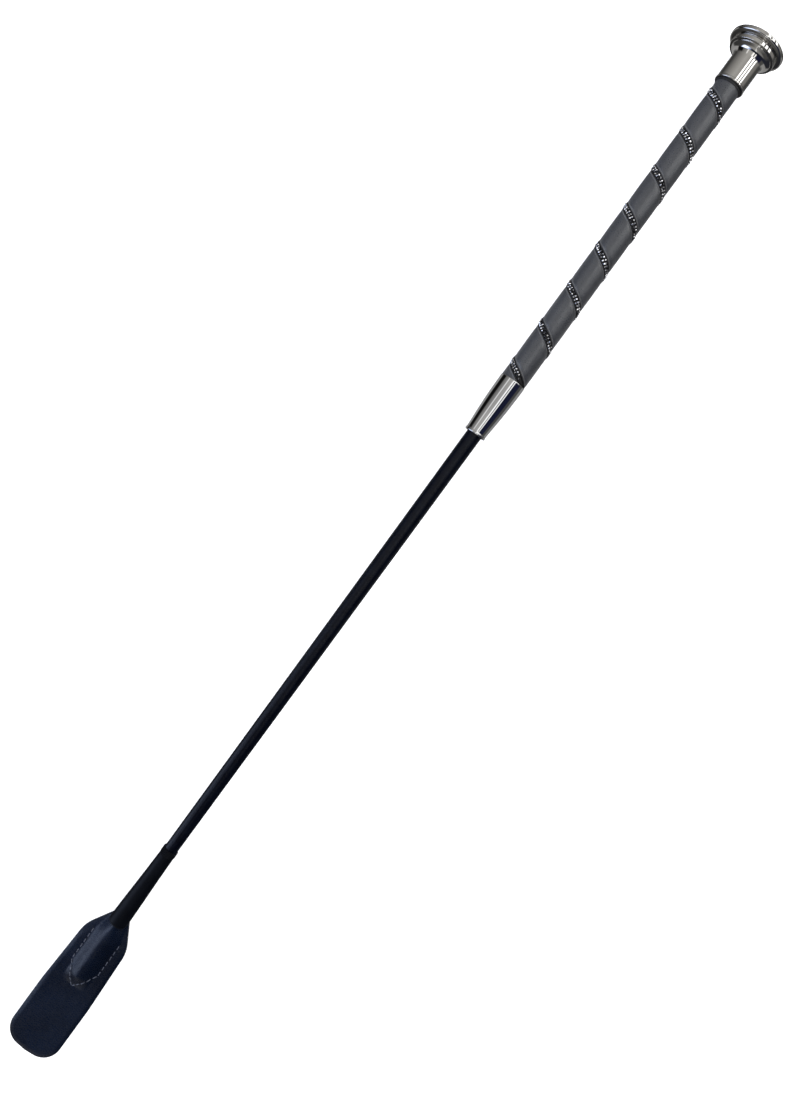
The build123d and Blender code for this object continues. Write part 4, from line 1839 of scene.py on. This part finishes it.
@dataclass
class Surround:
    """A soft surround of long panels that stand in line with the crop.

    The panels change with how far a direction leans along the axis: each side value gives the
    leans, -1 to 1, between which one set of panels gives way to the next.
    """

    strength: float = 1.0
    seen: Colour = rgb(1.0, 1.0, 1.0)
    cap_side: tuple[float, float] = (0.22, 0.40)
    tongue_side: tuple[float, float] = (-0.22, -0.34)
    flare_side: tuple[float, float] = (-0.68, -0.80)

    def share(self, nodes: Nodes, direction: Socket, way: Vector) -> Socket:
        """How far a direction points one way.

        Args:
            nodes: the node hand.
            direction: socket with the direction.
            way: the way, a unit vector.

        Returns:
            The socket of the share, -1 to 1.
        """
        dot = nodes.add("ShaderNodeVectorMath", operation="DOT_PRODUCT")
        nodes.join(direction, dot.inputs[0])
        dot.inputs[1].default_value = way
        return dot.outputs["Value"]

    def ramp(self, nodes: Nodes, place: Socket, panels: Sequence[Panel]) -> Socket:
        """Lays out one set of panels round the axis.

        Args:
            nodes: the node hand.
            place: the angle round the axis, 0 to 1.
            panels: the panels, in order.

        Returns:
            The light's colour.
        """
        ramp = nodes.add("ShaderNodeValToRGB")
        stops = ramp.color_ramp.elements
        for index, panel in enumerate(panels):
            at = 0.5 + panel.angle / 360.0
            stop = stops[index] if index < 2 else stops.new(at)
            stop.position = at
            light = panel.light
            stop.color = rgb(*(light if isinstance(light, tuple) else (light,) * 3))
        nodes.join(place, ramp.inputs["Fac"])
        return ramp.outputs["Color"]

    def build(self) -> None:
        """Lights the world by a direction's angle round the crop's axis and its lean along it."""
        world = bpy.data.worlds.new("studio_surround")
        bpy.context.scene.world = world
        world.use_nodes = True
        nodes = Nodes(world.node_tree)
        background = world.node_tree.nodes["Background"]
        direction = nodes.add("ShaderNodeTexCoord").outputs["Generated"]
        left = self.share(nodes, direction, AXIS.across)
        over = self.share(nodes, direction, AXIS.up)
        lean = self.share(nodes, direction, AXIS.along)
        angle = nodes.maths("ARCTAN2", left, over)
        place = nodes.maths("ADD", nodes.maths("DIVIDE", angle, FULL_TURN), 0.5)
        light = self.ramp(nodes, place, SIDE_PANELS)
        for leans, panels in (
            (self.cap_side, CAP_PANELS),
            (self.tongue_side, TONGUE_PANELS),
            (self.flare_side, FLARE_PANELS),
        ):
            share = nodes.between(lean, *leans)
            light = nodes.blend_colours(share, light, self.ramp(nodes, place, panels))
        view = nodes.add("ShaderNodeLightPath").outputs["Is Camera Ray"]
        light = nodes.blend_colours(view, light, self.seen)
        nodes.join(light, background.inputs["Color"])
        background.inputs["Strength"].default_value = self.strength


@dataclass
class Studio:
    """Floor, soft lamp, surround and camera."""

    floor_size: float = 8.0
    floor_drop: float = 0.0004
    glow: float = 0.72
    lamp_power: float = 5.0
    lamp_size: tuple[float, float] = (1.6, 0.9)
    lamp_station: float = 330.0
    lamp_lean: float = 0.8
    lamp_away: float = 1.1
    foot: float = 371.5
    height: float = 464.0
    lens: float = 28.6
    heading: float = 53.83
    shift: tuple[float, float] = (-0.0384, -0.0741)

    def floor(self) -> None:
        """Lays the pale, softly lit floor under the crop."""
        deselect_all()
        bpy.ops.mesh.primitive_plane_add(
            size=self.floor_size, location=(0.0, 0.0, -self.floor_drop)
        )
        piece = bpy.context.object
        piece.name = "studio_floor"
        material = PlainFinish(
            "floor_white", rgb(0.86, 0.86, 0.86), rgb(0.88, 0.88, 0.88), 0.9, tooth=0.0
        ).build()
        shader = material.node_tree.nodes["Principled BSDF"]
        shader.inputs["Emission Color"].default_value = rgb(1.0, 1.0, 1.0)
        shader.inputs["Emission Strength"].default_value = self.glow
        dress(piece, material)
        piece.visible_glossy = False

    def lamp(self) -> None:
        """Hangs one broad soft light above the crop's left side."""
        data = bpy.data.lights.new("soft_lamp", "AREA")
        data.shape = "RECTANGLE"
        data.size, data.size_y = self.lamp_size
        data.energy = self.lamp_power
        lamp = bpy.data.objects.new("soft_lamp", data)
        bpy.context.collection.objects.link(lamp)
        away = (AXIS.up + AXIS.across * self.lamp_lean).normalized()
        place = AXIS.at(self.lamp_station) + away * self.lamp_away
        lamp.matrix_world = standing(place, AXIS.along, away.cross(AXIS.along), away)
        lamp.visible_glossy = False

    def camera(self) -> None:
        """Stands the camera square above the axis, near the middle of the crop."""
        data = bpy.data.cameras.new("camera")
        data.lens = self.lens
        data.sensor_width = 36.0
        data.shift_x, data.shift_y = self.shift
        data.clip_start, data.clip_end = 0.01, 20.0
        camera = bpy.data.objects.new("camera", data)
        bpy.context.collection.objects.link(camera)
        lean = math.radians(self.heading)
        away = -AXIS.across
        right = AXIS.along * math.cos(lean) + away * math.sin(lean)
        top = AXIS.along * math.sin(lean) - away * math.cos(lean)
        place = AXIS.at(self.foot, 0.0, self.height)
        camera.matrix_world = standing(place, right, top, right.cross(top))
        bpy.context.scene.camera = camera

    def build(self) -> None:
        """Builds the floor, the camera, the lamp and the surround."""
        self.floor()
        self.camera()
        self.lamp()
        Surround().build()
        bpy.context.scene.view_settings.view_transform = "Standard"


def main() -> None:
    """Builds the studio and every sub-assembly, and hands each piece to the frame."""
    logging.basicConfig(level=logging.INFO)
    Studio().build()
    palette = Palette()
    for assembly in (Shaft(), Neck(), Ferrule(), Cap(), Grip(), Tongue()):
        assembly.build(palette)
    dress_node("core_rod", palette.fibre)
    dress_node("rod_tip_cap", palette.nylon)


if __name__ == "__main__":
    main()
